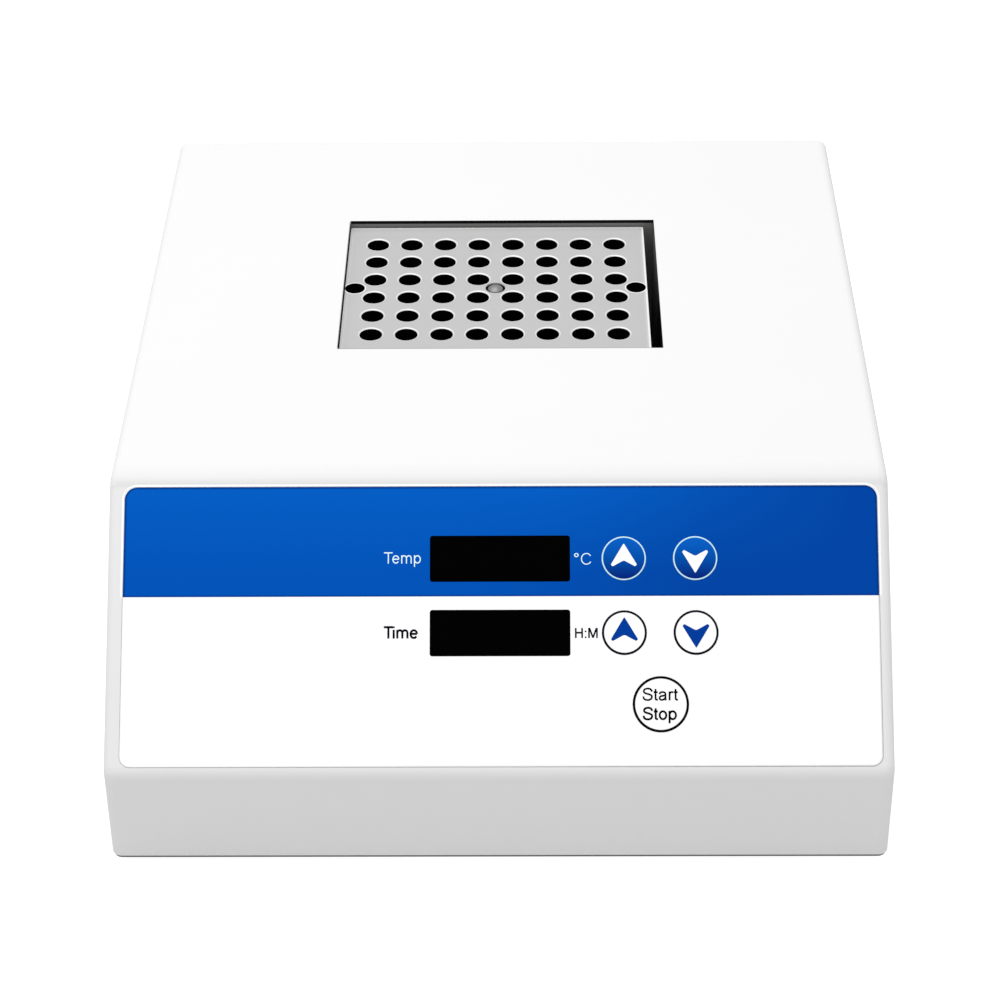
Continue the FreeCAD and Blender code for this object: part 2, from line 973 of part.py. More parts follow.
def make_well_sleeve():
    """The sheet sleeve that lines the well, with a flange that covers the insulation."""
    outer = centred_box(
        0, aperture_y, sleeve_outer_width, sleeve_outer_depth, mat_bottom_z, lip_z - sleeve_top_gap
    )
    flange = rounded_block(
        0,
        aperture_y,
        pan_outer_width,
        pan_outer_depth,
        flange_bottom_z,
        flange_top_z,
        pan_corner_radius,
    )
    inner = centred_box(
        0, aperture_y, sleeve_inner_width, sleeve_inner_depth, mat_bottom_z - 1, top_z
    )
    save("well_sleeve", outer.fuse(flange).cut(inner).removeSplitter())


def sensor_place():
    return pattern_x + sensor_shift_x, block_y + sensor_shift_y


def make_heater():
    """The heater plate, the silicone mat stuck under it, the sensor and the thermal cut-out."""
    width = sleeve_inner_width - 2 * plate_gap
    depth = sleeve_inner_depth - 2 * plate_gap
    sensor_x, sensor_y = sensor_place()
    hole = sensor_radius + sensor_gap
    plate = centred_box(0, aperture_y, width, depth, plate_bottom_z, block_bottom_z)
    thread = post(
        pattern_x,
        block_y,
        block_screw_radius + block_screw_gap,
        block_bottom_z - block_screw_grip - 1,
        block_bottom_z + 1,
    )
    pocket = post(sensor_x, sensor_y, hole, plate_bottom_z - 1, plate_bottom_z + sensor_depth)
    save("heater_plate", plate.cut([thread, pocket]))
    mat = centred_box(
        0,
        aperture_y,
        width - 2 * mat_border,
        depth - 2 * mat_border,
        mat_bottom_z,
        plate_bottom_z,
    )
    save("heater_mat", mat.cut(post(sensor_x, sensor_y, hole, mat_bottom_z - 1, plate_bottom_z + 1)))
    probe = post(
        sensor_x, sensor_y, sensor_radius, mat_bottom_z - sensor_radius, plate_bottom_z + sensor_depth
    )
    save("temp_sensor", probe)
    cutout_x = pattern_x + cutout_shift_x
    cap_top = mat_bottom_z
    cap_low = cap_top - cutout_cap_height
    cap = post(cutout_x, block_y, cutout_cap_radius, cap_low, cap_top)
    case = post(cutout_x, block_y, cutout_radius, cap_low - cutout_height, cap_low)
    save("thermal_cutout", cap.fuse(case))


def make_insulation():
    """Fibre board under the heater and round the sleeve."""
    outer = centred_box(
        0,
        aperture_y,
        pan_inner_width - 2 * jacket_gap,
        pan_inner_depth - 2 * jacket_gap,
        pan_floor_z,
        flange_bottom_z,
    )
    inner = centred_box(
        0,
        aperture_y,
        sleeve_outer_width + 2 * jacket_gap,
        sleeve_outer_depth + 2 * jacket_gap,
        mat_bottom_z,
        flange_bottom_z + 1,
    )
    sensor_x, sensor_y = sensor_place()
    channel = post(sensor_x, sensor_y, sensor_radius + 1, pan_floor_z - 1, mat_bottom_z + 1)
    cutout_pocket = post(
        pattern_x + cutout_shift_x, block_y, cutout_radius + cutout_gap, pan_floor_z - 1, mat_bottom_z + 1
    )
    heads = [
        post(
            x,
            y,
            base_screw_head_radius + cutout_gap,
            pan_floor_z - 1,
            pan_floor_z + base_screw_head_height + cutout_gap,
        )
        for x, y in spacer_places()
    ]
    save("insulation_jacket", outer.cut([inner, channel, cutout_pocket] + heads))


def spacer_places():
    across = pan_outer_width / 2 - spacer_inset
    along = pan_outer_depth / 2 - spacer_inset
    return [
        (sx * across, aperture_y + sy * along) for sx, sy in ((-1, -1), (1, -1), (1, 1), (-1, 1))
    ]


def make_heater_pan():
    """The sheet pan that holds the insulation, open at the top under the sleeve's flange."""
    outer = rounded_block(
        0,
        aperture_y,
        pan_outer_width,
        pan_outer_depth,
        pan_bottom_z,
        flange_bottom_z,
        pan_corner_radius,
    )
    inner = centred_box(
        0, aperture_y, pan_inner_width, pan_inner_depth, pan_floor_z, flange_bottom_z + 1
    )
    sensor_x, sensor_y = sensor_place()
    holes = [post(sensor_x, sensor_y, sensor_radius + 1, pan_bottom_z - 1, pan_floor_z + 1)]
    holes.append(
        post(
            pattern_x + cutout_shift_x, block_y, cutout_radius - 2, pan_bottom_z - 1, pan_floor_z + 1
        )
    )
    holes += [
        post(x, y, spacer_bore_radius, pan_bottom_z - 1, pan_floor_z + 1)
        for x, y in spacer_places()
    ]
    save("heater_pan", outer.cut([inner] + holes))


def make_pan_spacers():
    """Threaded spacers from the tray to the pan, with a screw at each end."""
    spacers = []
    screws = []
    for x, y in spacer_places():
        body = post(x, y, spacer_radius, tray_top_z, pan_bottom_z)
        bore = post(x, y, spacer_bore_radius, tray_top_z - 1, pan_bottom_z + 1)
        spacers.append(body.cut(bore))
        low_head = post(x, y, base_screw_head_radius, tray_z - base_screw_head_height, tray_z)
        low_shank = post(x, y, base_screw_radius, tray_z, tray_z + spacer_screw_length)
        high_head = post(
            x, y, base_screw_head_radius, pan_floor_z, pan_floor_z + base_screw_head_height
        )
        high_shank = post(x, y, base_screw_radius, pan_floor_z - spacer_screw_length, pan_floor_z)
        screws.append(low_head.fuse(low_shank))
        screws.append(high_head.fuse(high_shank))
    save("pan_spacers", group(spacers))
    save("pan_screws", group(screws))


def control_board_corners():
    across = control_board_width / 2 - board_screw_inset
    along = control_board_depth / 2 - board_screw_inset
    return [
        (control_board_x + sx * across, control_board_y + sy * along)
        for sx, sy in ((-1, -1), (1, -1), (1, 1), (-1, 1))
    ]


def make_control_board():
    board = centred_box(
        control_board_x,
        control_board_y,
        control_board_width,
        control_board_depth,
        control_board_z,
        control_board_top_z,
    )
    holes = [
        post(x, y, small_screw_radius + screw_hole_gap, control_board_z - 1, control_board_top_z + 1)
        for x, y in control_board_corners()
    ]
    save("control_board", board.cut(holes))
    spacers = []
    screws = []
    for x, y in control_board_corners():
        body = post(x, y, board_spacer_radius, tray_top_z, control_board_z)
        bore = post(x, y, small_screw_radius + screw_hole_gap, tray_top_z + 1, control_board_z + 1)
        spacers.append(body.cut(bore))
        top = control_board_top_z
        head = post(x, y, small_screw_head_radius, top, top + small_screw_head_height)
        shank = post(x, y, small_screw_radius, tray_top_z + 2, top)
        screws.append(head.fuse(shank))
    save("board_spacers", group(spacers))
    save("board_screws", group(screws))


def terminal_place():
    edge = control_board_x + control_board_width / 2
    return edge - board_part_inset - terminal_length / 2, control_board_y


def header_place():
    return display_header_x, control_board_y - control_board_depth / 2 + board_part_inset


def make_board_components():
    """Relay, two capacitors, the mains terminals and the ribbon's header."""
    z = control_board_top_z
    left = control_board_x - control_board_width / 2 + board_part_inset
    relay = centred_box(
        left + relay_length / 2, control_board_y, relay_length, relay_width, z, z + relay_height
    )
    parts = [relay]
    for i in range(2):
        x = left + relay_length + 2 * capacitor_radius + i * (2 * capacitor_radius + 2)
        parts.append(post(x, control_board_y, capacitor_radius, z, z + capacitor_height))
    x, y = terminal_place()
    parts.append(centred_box(x, y, terminal_length, terminal_width, z, z + terminal_height))
    x, y = header_place()
    parts.append(centred_box(x, y, header_length, header_width, z, z + header_height))
    save("board_components", group(parts))


def make_transformer():
    """A frame transformer on its foot strap: the core, the wound coil and two screws."""
    x, y = transformer_x, transformer_y
    z = tray_top_z + core_foot_thickness
    core = centred_box(x, y, core_length, core_depth, z, z + core_height)
    window_low = z + core_leg
    window_high = z + core_height - core_leg
    for side in (-1, 1):
        middle = x + side * (core_leg + core_window) / 2
        core = core.cut(
            centred_box(middle, y, core_window, core_depth + 2, window_low, window_high)
        )
    strap = centred_box(x, y, core_foot_length, core_depth, tray_top_z, z)
    hole_x = core_foot_length / 2 - (core_foot_length - core_length) / 4
    holes = [
        post(x + s * hole_x, y, base_screw_radius + screw_hole_gap, tray_top_z - 1, z + 1)
        for s in (-1, 1)
    ]
    save("transformer_core", core.fuse(strap.cut(holes)).removeSplitter())
    leg = core_leg + 2 * coil_gap
    coil = centred_box(
        x,
        y,
        core_leg + 2 * core_window - 2 * coil_gap,
        core_depth + 2 * coil_wall,
        window_low + coil_gap,
        window_high - coil_gap,
    )
    hole = centred_box(x, y, leg, core_depth + 2 * coil_gap, window_low, window_high)
    save("transformer_coil", coil.cut(hole))
    screws = []
    for s in (-1, 1):
        sx = x + s * hole_x
        head = post(sx, y, base_screw_head_radius, z, z + base_screw_head_height)
        shank = post(sx, y, base_screw_radius, tray_top_z, z)
        screws.append(head.fuse(shank))
    save("transformer_screws", group(screws))


def make_heatsink():
    """A finned extrusion on the tray and the triac clamped to its end."""
    x, y = heatsink_x, heatsink_y
    z = tray_top_z
    base = centred_box(x, y, heatsink_width, heatsink_length, z, z + heatsink_base)
    pitch = (heatsink_width - heatsink_fin_thickness) / (heatsink_fin_count - 1)
    fins = []
    for i in range(heatsink_fin_count):
        fin_x = x + (i - (heatsink_fin_count - 1) / 2) * pitch
        fins.append(
            centred_box(
                fin_x,
                y,
                heatsink_fin_thickness,
                heatsink_length,
                z + heatsink_base,
                z + heatsink_base + heatsink_fin_height,
            )
        )
    foot_end = triac_y + triac_height / 2
    plate = box(
        x - heatsink_width / 2,
        x + heatsink_width / 2,
        foot_end,
        y - heatsink_length / 2,
        z,
        z + heatsink_base + triac_length,
    )
    save("heatsink", base.fuse(fins + [plate]).removeSplitter())
    triac = box(
        x - triac_width / 2,
        x + triac_width / 2,
        triac_y - triac_height / 2,
        foot_end,
        z + heatsink_base,
        z + heatsink_base + triac_length,
    )
    save("triac", triac)


def inlet_pins():
    """Three blades in the socket, with tails behind; the earth blade stands above the other two."""
    back = inlet_face_y - socket_depth
    tip = inlet_face_y - pin_setback
    tail = inlet_face_y - inlet_flange_thickness - inlet_body_length - pin_tail
    places = [
        (inlet_x - pin_spacing / 2, socket_z - pin_offset),
        (inlet_x + pin_spacing / 2, socket_z - pin_offset),
        (inlet_x, socket_z + pin_offset),
    ]
    pins = []
    for x, z in places:
        blade = box(x - pin_width / 2, x + pin_width / 2, back, tip, z - pin_height / 2, z + pin_height / 2)
        rear = box(
            x - tab_thickness / 2, x + tab_thickness / 2, tail, back, z - pin_height / 2, z + pin_height / 2
        )
        pins.append(blade.fuse(rear))
    return pins


def socket_cavity():
    """The shaped socket with its two upper corners cut off."""
    half = socket_width / 2
    low = socket_z - socket_height / 2
    high = socket_z + socket_height / 2
    outline = [
        (-half, low),
        (half, low),
        (half, high - socket_corner),
        (half - socket_corner, high),
        (-half + socket_corner, high),
        (-half, high - socket_corner),
    ]
    points = [Vector(inlet_x + x, inlet_face_y - socket_depth, z) for x, z in outline]
    face = Part.Face(Part.makePolygon(points + [points[0]]))
    return face.extrude(Vector(0, socket_depth + 1, 0))


def drawer_box(gap):
    return box(
        inlet_x - drawer_width / 2 - gap,
        inlet_x + drawer_width / 2 + gap,
        inlet_face_y - drawer_length - gap,
        inlet_face_y + (1 if gap else 0),
        drawer_z - drawer_height / 2 - gap,
        drawer_z + drawer_height / 2 + gap,
    )


def fuse_places():
    y = inlet_face_y - fuse_setback
    return [(y, drawer_z), (y - fuse_spacing, drawer_z)]


def make_power_inlet():
    flange = rounded_block(
        0,
        0,
        inlet_flange_width,
        inlet_flange_height,
        0,
        inlet_flange_thickness,
        inlet_flange_radius,
    )
    flange.Placement = Placement(
        Vector(inlet_x, inlet_face_y, inlet_z), Rotation(Vector(1, 0, 0), 90)
    )
    body = box(
        inlet_x - inlet_body_width / 2,
        inlet_x + inlet_body_width / 2,
        back_y - inlet_body_length,
        back_y,
        inlet_z - inlet_body_height / 2,
        inlet_z + inlet_body_height / 2,
    )
    pins = inlet_pins()
    screw_holes = []
    screws = []
    for side in (-1, 1):
        z = inlet_z + side * inlet_screw_spacing / 2
        hole_radius = small_screw_radius + screw_hole_gap
        screw_holes.append(along_y(inlet_x, z, hole_radius, back_y - 1, inlet_face_y + 1))
        head = Part.makeCone(
            small_screw_radius,
            small_screw_radius + 0.6,
            inlet_flange_thickness / 3,
            Vector(inlet_x, inlet_face_y - inlet_flange_thickness / 3, z),
            Vector(0, 1, 0),
        )
        shank = along_y(
            inlet_x,
            z,
            small_screw_radius,
            back_y - 2 * housing_wall,
            inlet_face_y - inlet_flange_thickness / 3,
        )
        screws.append(head.fuse(shank))
        screw_holes.append(
            Part.makeCone(
                hole_radius,
                hole_radius + 0.6,
                inlet_flange_thickness / 3,
                Vector(inlet_x, inlet_face_y - inlet_flange_thickness / 3, z),
                Vector(0, 1, 0),
            )
        )
    cuts = [socket_cavity(), drawer_box(drawer_gap)] + pins + screw_holes
    save("power_inlet", flange.fuse(body).cut(cuts).removeSplitter())
    save("inlet_pins", group(pins))
    save("inlet_screws", group(screws))


def make_fuse_drawer():
    """The drawer that carries the working fuse and a spare, side by side across it."""
    drawer = drawer_box(0)
    channel_radius = fuse_radius + fuse_gap
    half = fuse_length / 2 + fuse_gap
    cuts = []
    fuses = []
    for y, z in fuse_places():
        cuts.append(along_x(y, z, channel_radius, inlet_x - half, inlet_x + half))
        cuts.append(
            box(
                inlet_x - half,
                inlet_x + half,
                y - channel_radius,
                y + channel_radius,
                z,
                drawer_z + drawer_height / 2 + 1,
            )
        )
        fuses.append(along_x(y, z, fuse_radius, inlet_x - fuse_length / 2, inlet_x + fuse_length / 2))
    save("fuse_drawer", drawer.cut(cuts))
    save("fuses", group(fuses))


def make_power_switch():
    """The switch body with its bezel, open for the rocker, and its tabs."""
    bezel = rounded_block(0, 0, bezel_width, bezel_height, 0, bezel_thickness, bezel_radius)
    bezel.Placement = Placement(
        Vector(power_x, bezel_face_y, power_z), Rotation(Vector(1, 0, 0), 90)
    )
    body = box(
        power_x - power_body_width / 2,
        power_x + power_body_width / 2,
        back_y - power_body_length,
        back_y,
        power_z - power_body_height / 2,
        power_z + power_body_height / 2,
    )
    half = rocker_width / 2 + rocker_gap
    room = along_x(
        pivot_y, power_z, rocker_radius + rocker_gap, power_x - half, power_x + half
    )
    pivots = along_x(
        pivot_y,
        power_z,
        pivot_radius + pivot_gap,
        power_x - half - pivot_length,
        power_x + half + pivot_length,
    )
    tabs = []
    for z in (power_z - power_body_height / 4, power_z + power_body_height / 4):
        tabs.append(
            centred_box(
                power_x,
                back_y - power_body_length - tab_length / 2,
                tab_width,
                tab_length,
                z - tab_thickness / 2,
                z + tab_thickness / 2,
            )
        )
    save("power_switch", bezel.fuse([body] + tabs).cut([room, pivots]).removeSplitter())


def make_power_rocker():
    """A rocker with two faces that meet over the pivot, drawn pressed in at its lower end."""
    tilt = math.tan(math.radians(rocker_tilt))
    reach = 2 * rocker_radius
    outline = [
        (rocker_peak, 0),
        (rocker_peak - reach * tilt, reach),
        (-rocker_depth, reach),
        (-rocker_depth, -reach),
        (rocker_peak - reach * tilt, -reach),
    ]
    x0 = -rocker_width / 2
    points = [Vector(x0, y, z) for y, z in outline]
    face = Part.Face(Part.makePolygon(points + [points[0]]))
    wedge = face.extrude(Vector(rocker_width, 0, 0))
    rounded = wedge.common(along_x(0, 0, rocker_radius, x0, -x0))
    stub_half = rocker_width / 2 + rocker_gap + pivot_length - pivot_gap
    stubs = along_x(0, 0, pivot_radius, -stub_half, stub_half)
    rocker = rounded.fuse(stubs).removeSplitter()
    rocker.Placement = Placement(
        Vector(power_x, pivot_y, power_z), Rotation(Vector(1, 0, 0), -rocker_tilt)
    )
    save("power_rocker", rocker)


def make_mains_wires():
    """Leads from the inlet's tabs to the switch and on to the terminals, clear of the heater pan."""
    tail_y = inlet_face_y - inlet_flange_thickness - inlet_body_length - pin_tail
    tab_y = back_y - power_body_length - tab_length
    side_x = half_width - housing_wall - wire_side_gap
    low_z = tray_top_z + wire_floor_gap
    terminal_y = terminal_place()[1]
    end_x = control_board_x + control_board_width / 2 - board_part_inset
    end_z = control_board_top_z + terminal_height / 2
    lower_tab = power_z - power_body_height / 4
    upper_tab = power_z + power_body_height / 4
    half = wire_spacing / 2
    live = Vector(inlet_x + pin_spacing / 2, tail_y, socket_z - pin_offset)
    to_board = [
        live,
        live - Vector(0, wire_stub, 0),
        Vector(side_x, tail_y - wire_sweep, low_z + wire_floor_gap),
        Vector(side_x, tail_y - 2 * wire_sweep, low_z),
        Vector(side_x, terminal_y + wire_sweep, low_z),
        Vector(side_x, terminal_y + wire_stub, end_z),
        Vector(end_x + wire_stub, terminal_y - half, end_z),
        Vector(end_x, terminal_y - half, end_z),
    ]
    neutral = Vector(inlet_x - pin_spacing / 2, tail_y, socket_z - pin_offset)
    to_switch = [
        neutral,
        neutral - Vector(0, wire_stub, 0),
        Vector(power_x, tail_y - wire_stub, lower_tab),
        Vector(power_x, tab_y, lower_tab),
    ]
    inner_x = side_x - wire_spacing
    inner_z = low_z + wire_spacing
    from_switch = [
        Vector(power_x, tab_y, upper_tab),
        Vector(power_x, tab_y - wire_stub, upper_tab),
        Vector(power_x - wire_stub, tab_y - wire_stub - wire_spacing, inner_z),
        Vector(inner_x, tail_y - wire_sweep / 2, inner_z),
        Vector(inner_x, terminal_y + wire_sweep, inner_z),
        Vector(inner_x, terminal_y + wire_stub + wire_spacing, end_z),
        Vector(end_x + wire_stub, terminal_y + half, end_z),
        Vector(end_x, terminal_y + half, end_z),
    ]
    routes = (to_board, to_switch, from_switch)
    save("mains_wires", group([tube(points, wire_radius) for points in routes]))


def make_heater_leads():
    """Leads from the cut-out down through the pan to the mains terminals."""
    cutout_x = pattern_x + cutout_shift_x
    case_low = mat_bottom_z - cutout_cap_height - cutout_height
    x, y = terminal_place()
    top = control_board_top_z + terminal_height
    leads = []
    for shift in (-wire_spacing / 2, wire_spacing / 2):
        start = Vector(cutout_x + shift, block_y, case_low)
        end = Vector(x + shift * 2, y, top)
        points = [
            start,
            start - Vector(0, 0, lead_stub),
            Vector(start.x, block_y - lead_sweep, case_low - lead_sweep),
            Vector(end.x, y + lead_sweep, top + lead_arch),
            Vector(end.x, y, top + lead_arch),
            end,
        ]
        leads.append(tube(points, thin_wire_radius))
    save("heater_leads", group(leads))


def make_sensor_leads():
    x, y = sensor_place()
    start = Vector(x, y, mat_bottom_z - sensor_radius)
    end_y = control_board_y + control_board_depth / 2 - board_part_inset / 2
    end = Vector(control_board_x, end_y, control_board_top_z)
    points = [
        start,
        Vector(x, y, pan_bottom_z - wire_spacing),
        Vector(x, y - lead_sweep, pan_bottom_z - lead_stub),
        Vector((x + end.x) / 2, (y + end.y) / 2, pan_bottom_z - lead_arch),
        end + Vector(0, lead_stub, lead_stub),
        end + Vector(0, 0, lead_stub),
        end,
    ]
    save("sensor_leads", tube(points, thin_wire_radius))


def make_ribbon_cable():
    """A flat lead from the display board's header down to the control board's."""
    upper = panel_frame.multVec(
        Vector(display_header_x, display_header_row, board_back_w - header_height)
    )
    outward = panel_frame.Rotation.multVec(Vector(0, 0, -1))
    lower_x, lower_y = header_place()
    lower = Vector(lower_x, lower_y, control_board_top_z + header_height)
    points = [upper, upper + outward * ribbon_stub, lower + Vector(0, 0, ribbon_stub), lower]
    runs = [(b - a).Length for a, b in zip(points, points[1:])]
    radii = [0.0, 0.45 * min(runs[0], runs[1]), 0.45 * min(runs[1], runs[2]), 0.0]
    path = rounded_path(points, radii, False)
    side = Vector(ribbon_width / 2, 0, 0)
    edge = (outward.cross(Vector(1, 0, 0))).normalize() * (ribbon_thickness / 2)
    section = Part.makePolygon(
        [upper + side + edge, upper + side - edge, upper - side - edge, upper - side + edge, upper + side + edge]
    )
    save("ribbon_cable", path.makePipeShell([section], True, False))


os.makedirs("parts", exist_ok=True)
make_upper_housing()
make_base_tray()
make_feet()
make_base_screws()
make_panel_overlay()
make_windows()
make_keys()
make_key_switches()
make_display_board()
make_display_modules()
make_buzzer()
make_heating_block()
make_block_screw()
make_well_sleeve()
make_heater()
make_insulation()
make_heater_pan()
make_pan_spacers()
make_control_board()
make_board_components()
make_transformer()
make_heatsink()
make_power_inlet()
make_fuse_drawer()
make_power_switch()
make_power_rocker()
make_mains_wires()
make_heater_leads()
make_sensor_leads()
make_ribbon_cable()
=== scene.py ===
import json
import math

import bmesh
import bpy
from mathutils import Matrix, Vector


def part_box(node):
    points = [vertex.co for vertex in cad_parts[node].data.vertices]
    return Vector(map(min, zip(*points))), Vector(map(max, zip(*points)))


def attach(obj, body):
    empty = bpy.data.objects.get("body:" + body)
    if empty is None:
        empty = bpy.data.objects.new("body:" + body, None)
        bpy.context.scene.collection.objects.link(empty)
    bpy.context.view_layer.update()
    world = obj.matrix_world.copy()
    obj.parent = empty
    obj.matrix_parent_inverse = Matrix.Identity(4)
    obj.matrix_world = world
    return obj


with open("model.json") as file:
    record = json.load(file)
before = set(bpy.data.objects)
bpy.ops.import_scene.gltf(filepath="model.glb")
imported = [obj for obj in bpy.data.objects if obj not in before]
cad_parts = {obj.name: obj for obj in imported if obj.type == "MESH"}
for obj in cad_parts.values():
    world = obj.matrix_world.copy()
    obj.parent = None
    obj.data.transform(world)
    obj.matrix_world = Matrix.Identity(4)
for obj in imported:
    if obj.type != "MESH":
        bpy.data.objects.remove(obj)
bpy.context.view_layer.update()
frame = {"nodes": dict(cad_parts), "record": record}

nodes = frame["nodes"]
mm = 0.001

# the sloping panel: origin on the belt line at the front, u up the slope, w out of it
panel = {"angle": 45.0, "beltHeight": 35.75}
housingLow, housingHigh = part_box("upper_housing")
slopeCos = math.cos(math.radians(panel["angle"]))
slopeSin = math.sin(math.radians(panel["angle"]))
beltY = housingLow[1]
beltZ = housingLow[2] + panel["beltHeight"] * mm
panelMatrix = Matrix(
    (
        (1, 0, 0, 0),
        (0, slopeCos, -slopeSin, beltY),
        (0, slopeSin, slopeCos, beltZ),
        (0, 0, 0, 1),
    )
)
topZ = housingHigh[2] * 1000  # the flat top, in mm
print("frame loaded:", len(nodes), "nodes")


def span(box, axis):  # middle and half size of a box along x, y or z, in mm
    low, high = box[0][axis] * 1000, box[1][axis] * 1000
    return (low + high) / 2, (high - low) / 2


# camera
camera = {
    "lens": 100.0,
    "sensor": 36.0,
    "target": (-0.1365, 120.0, 67.361),
    "distance": 994.88,
    "elevation": 35.394,
    "azimuth": 0.760,
    "roll": -0.615,
}


def makeCamera():
    el, az = math.radians(camera["elevation"]), math.radians(camera["azimuth"])
    roll = math.radians(camera["roll"])
    back = Vector((math.sin(az) * math.cos(el), -math.cos(az) * math.cos(el), math.sin(el)))
    aim = Vector(camera["target"]) * mm + Vector((0, beltY, 0))
    right = (-back).cross(Vector((0, 0, 1))).normalized()
    up = right.cross(-back)
    side = right * math.cos(roll) + up * math.sin(roll)
    top = up * math.cos(roll) - right * math.sin(roll)
    data = bpy.data.cameras.new("camera")
    data.lens = camera["lens"]
    data.sensor_width = camera["sensor"]
    obj = bpy.data.objects.new("camera", data)
    bpy.context.scene.collection.objects.link(obj)
    spot = aim + back * camera["distance"] * mm
    obj.matrix_world = Matrix(
        (
            (side.x, top.x, back.x, spot.x),
            (side.y, top.y, back.y, spot.y),
            (side.z, top.z, back.z, spot.z),
            (0, 0, 0, 1),
        )
    )
    bpy.context.scene.camera = obj


makeCamera()
print("camera placed")


# shader helpers
class Wire:  # a socket that takes part in sums
    def __init__(self, tree, socket):
        self.tree = tree
        self.socket = socket

    def calc(self, operation, *values, clamp=False):
        settings = {"operation": operation, "use_clamp": clamp}
        return self.tree.node("ShaderNodeMath", settings, dict(enumerate(values)))

    def __add__(self, other):
        return self.calc("ADD", self, other)

    def __radd__(self, other):
        return self.calc("ADD", other, self)

    def __sub__(self, other):
        return self.calc("SUBTRACT", self, other)

    def __rsub__(self, other):
        return self.calc("SUBTRACT", other, self)

    def __mul__(self, other):
        return self.calc("MULTIPLY", self, other)

    def __rmul__(self, other):
        return self.calc("MULTIPLY", other, self)

    def __truediv__(self, other):
        return self.calc("DIVIDE", self, other)

    def __rtruediv__(self, other):
        return self.calc("DIVIDE", other, self)

    def __abs__(self):
        return self.calc("ABSOLUTE", self)

    def __pow__(self, other):
        return self.calc("POWER", self, other)

    def __rpow__(self, other):
        return self.calc("POWER", other, self)

    def part(self):  # what is left after the whole number
        return self.calc("FRACT", self)

    def high(self, other):
        return self.calc("MAXIMUM", self, other)

    def step(self, start, end):  # 0 at start, 1 at end, straight between
        return self.calc("MULTIPLY", self - start, 1 / (end - start), clamp=True)

    def above(self, limit, soft):  # 1 over the limit, 0 under it
        return self.step(limit - soft, limit + soft)

    def below(self, limit, soft):  # 1 under the limit, 0 over it
        return self.step(limit + soft, limit - soft)


class Tree:  # a node tree, with one method that adds any node
    def __init__(self, nodeTree):
        self.nodeTree = nodeTree

    def node(self, kind, settings, values, output=0):
        made = self.nodeTree.nodes.new(kind)
        for key, value in settings.items():
            setattr(made, key, value)
        for key, value in values.items():
            if isinstance(value, Wire):
                self.nodeTree.links.new(value.socket, made.inputs[key])
            else:
                made.inputs[key].default_value = value
        return Wire(self, made.outputs[output])

    def other(self, wire, output):  # another output of the node that a wire comes from
        return Wire(self, wire.socket.node.outputs[output])

    def link(self, wire, nodeName, socket):
        self.nodeTree.links.new(wire.socket, self.nodeTree.nodes[nodeName].inputs[socket])

    def seen(self):  # 1 on rays that see a surface, 0 on rays that only carry its light
        direct = self.node("ShaderNodeLightPath", {}, {}, "Is Camera Ray")
        glossy = self.other(direct, "Is Glossy Ray")
        return direct.high(glossy).high(self.other(direct, "Is Transmission Ray"))


class Finish(Tree):  # one material: its main shader and what feeds it
    def __init__(self, name, color, roughness, metallic=0.0, specular=0.5):
        self.material = bpy.data.materials.new(name)
        self.material.use_nodes = True
        self.color = (*color, 1.0)
        self.material.diffuse_color = self.color
        super().__init__(self.material.node_tree)
        self.shader = self.nodeTree.nodes["Principled BSDF"]
        for socket, value in (
            ("Base Color", self.color),
            ("Roughness", roughness),
            ("Metallic", metallic),
            ("Specular IOR Level", specular),
            ("IOR", 1.45),
        ):
            self.shader.inputs[socket].default_value = value
        self.place = self.node("ShaderNodeTexCoord", {}, {}, "Object")
        self.placeX = None

    def feed(self, socket, wire):
        self.link(wire, self.shader.name, socket)

    def axis(self, letter):  # a place along x, y or z in mm
        if self.placeX is None:
            self.placeX = self.node("ShaderNodeSeparateXYZ", {}, {"Vector": self.place}, "X")
        return self.other(self.placeX, letter) * 1000.0

    def upSlope(self):  # a place up the panel in mm, from the belt line
        forward, upward = self.axis("Y") - beltY * 1000, self.axis("Z") - beltZ * 1000
        return forward * slopeCos + upward * slopeSin

    def noise(self, scale, detail=2.0, roughness=0.5, stretch=None):
        place = self.place
        if stretch:
            place = self.node("ShaderNodeMapping", {}, {"Vector": place, "Scale": stretch})
        values = {"Vector": place, "Scale": scale, "Detail": detail, "Roughness": roughness}
        return self.node("ShaderNodeTexNoise", {}, values)

    def mix(self, factor, first, second):  # each colour is a wire or three numbers
        first, second = (c if isinstance(c, Wire) else (*c, 1.0) for c in (first, second))
        settings = {"data_type": "RGBA", "blend_type": "MIX"}
        values = {"Factor": factor, 6: first, 7: second}  # inputs 6 and 7 and output 2 are colours
        return self.node("ShaderNodeMix", settings, values, 2)

    def bump(self, height, distance, strength=1.0):
        values = {"Height": height, "Distance": distance, "Strength": strength}
        self.feed("Normal", self.node("ShaderNodeBump", {}, values))

    def rough(self, noise, middle, spread):  # roughness that wanders about its middle
        self.feed("Roughness", noise * spread + (middle - spread / 2))

    def vary(self, noise, amount):  # lighter and darker by a share of the main colour
        dark = [c * (1 - amount) for c in self.color[:3]]
        light = [min(c * (1 + amount), 1.0) for c in self.color[:3]]
        self.feed("Base Color", self.mix(noise, dark, light))


finishes = {}


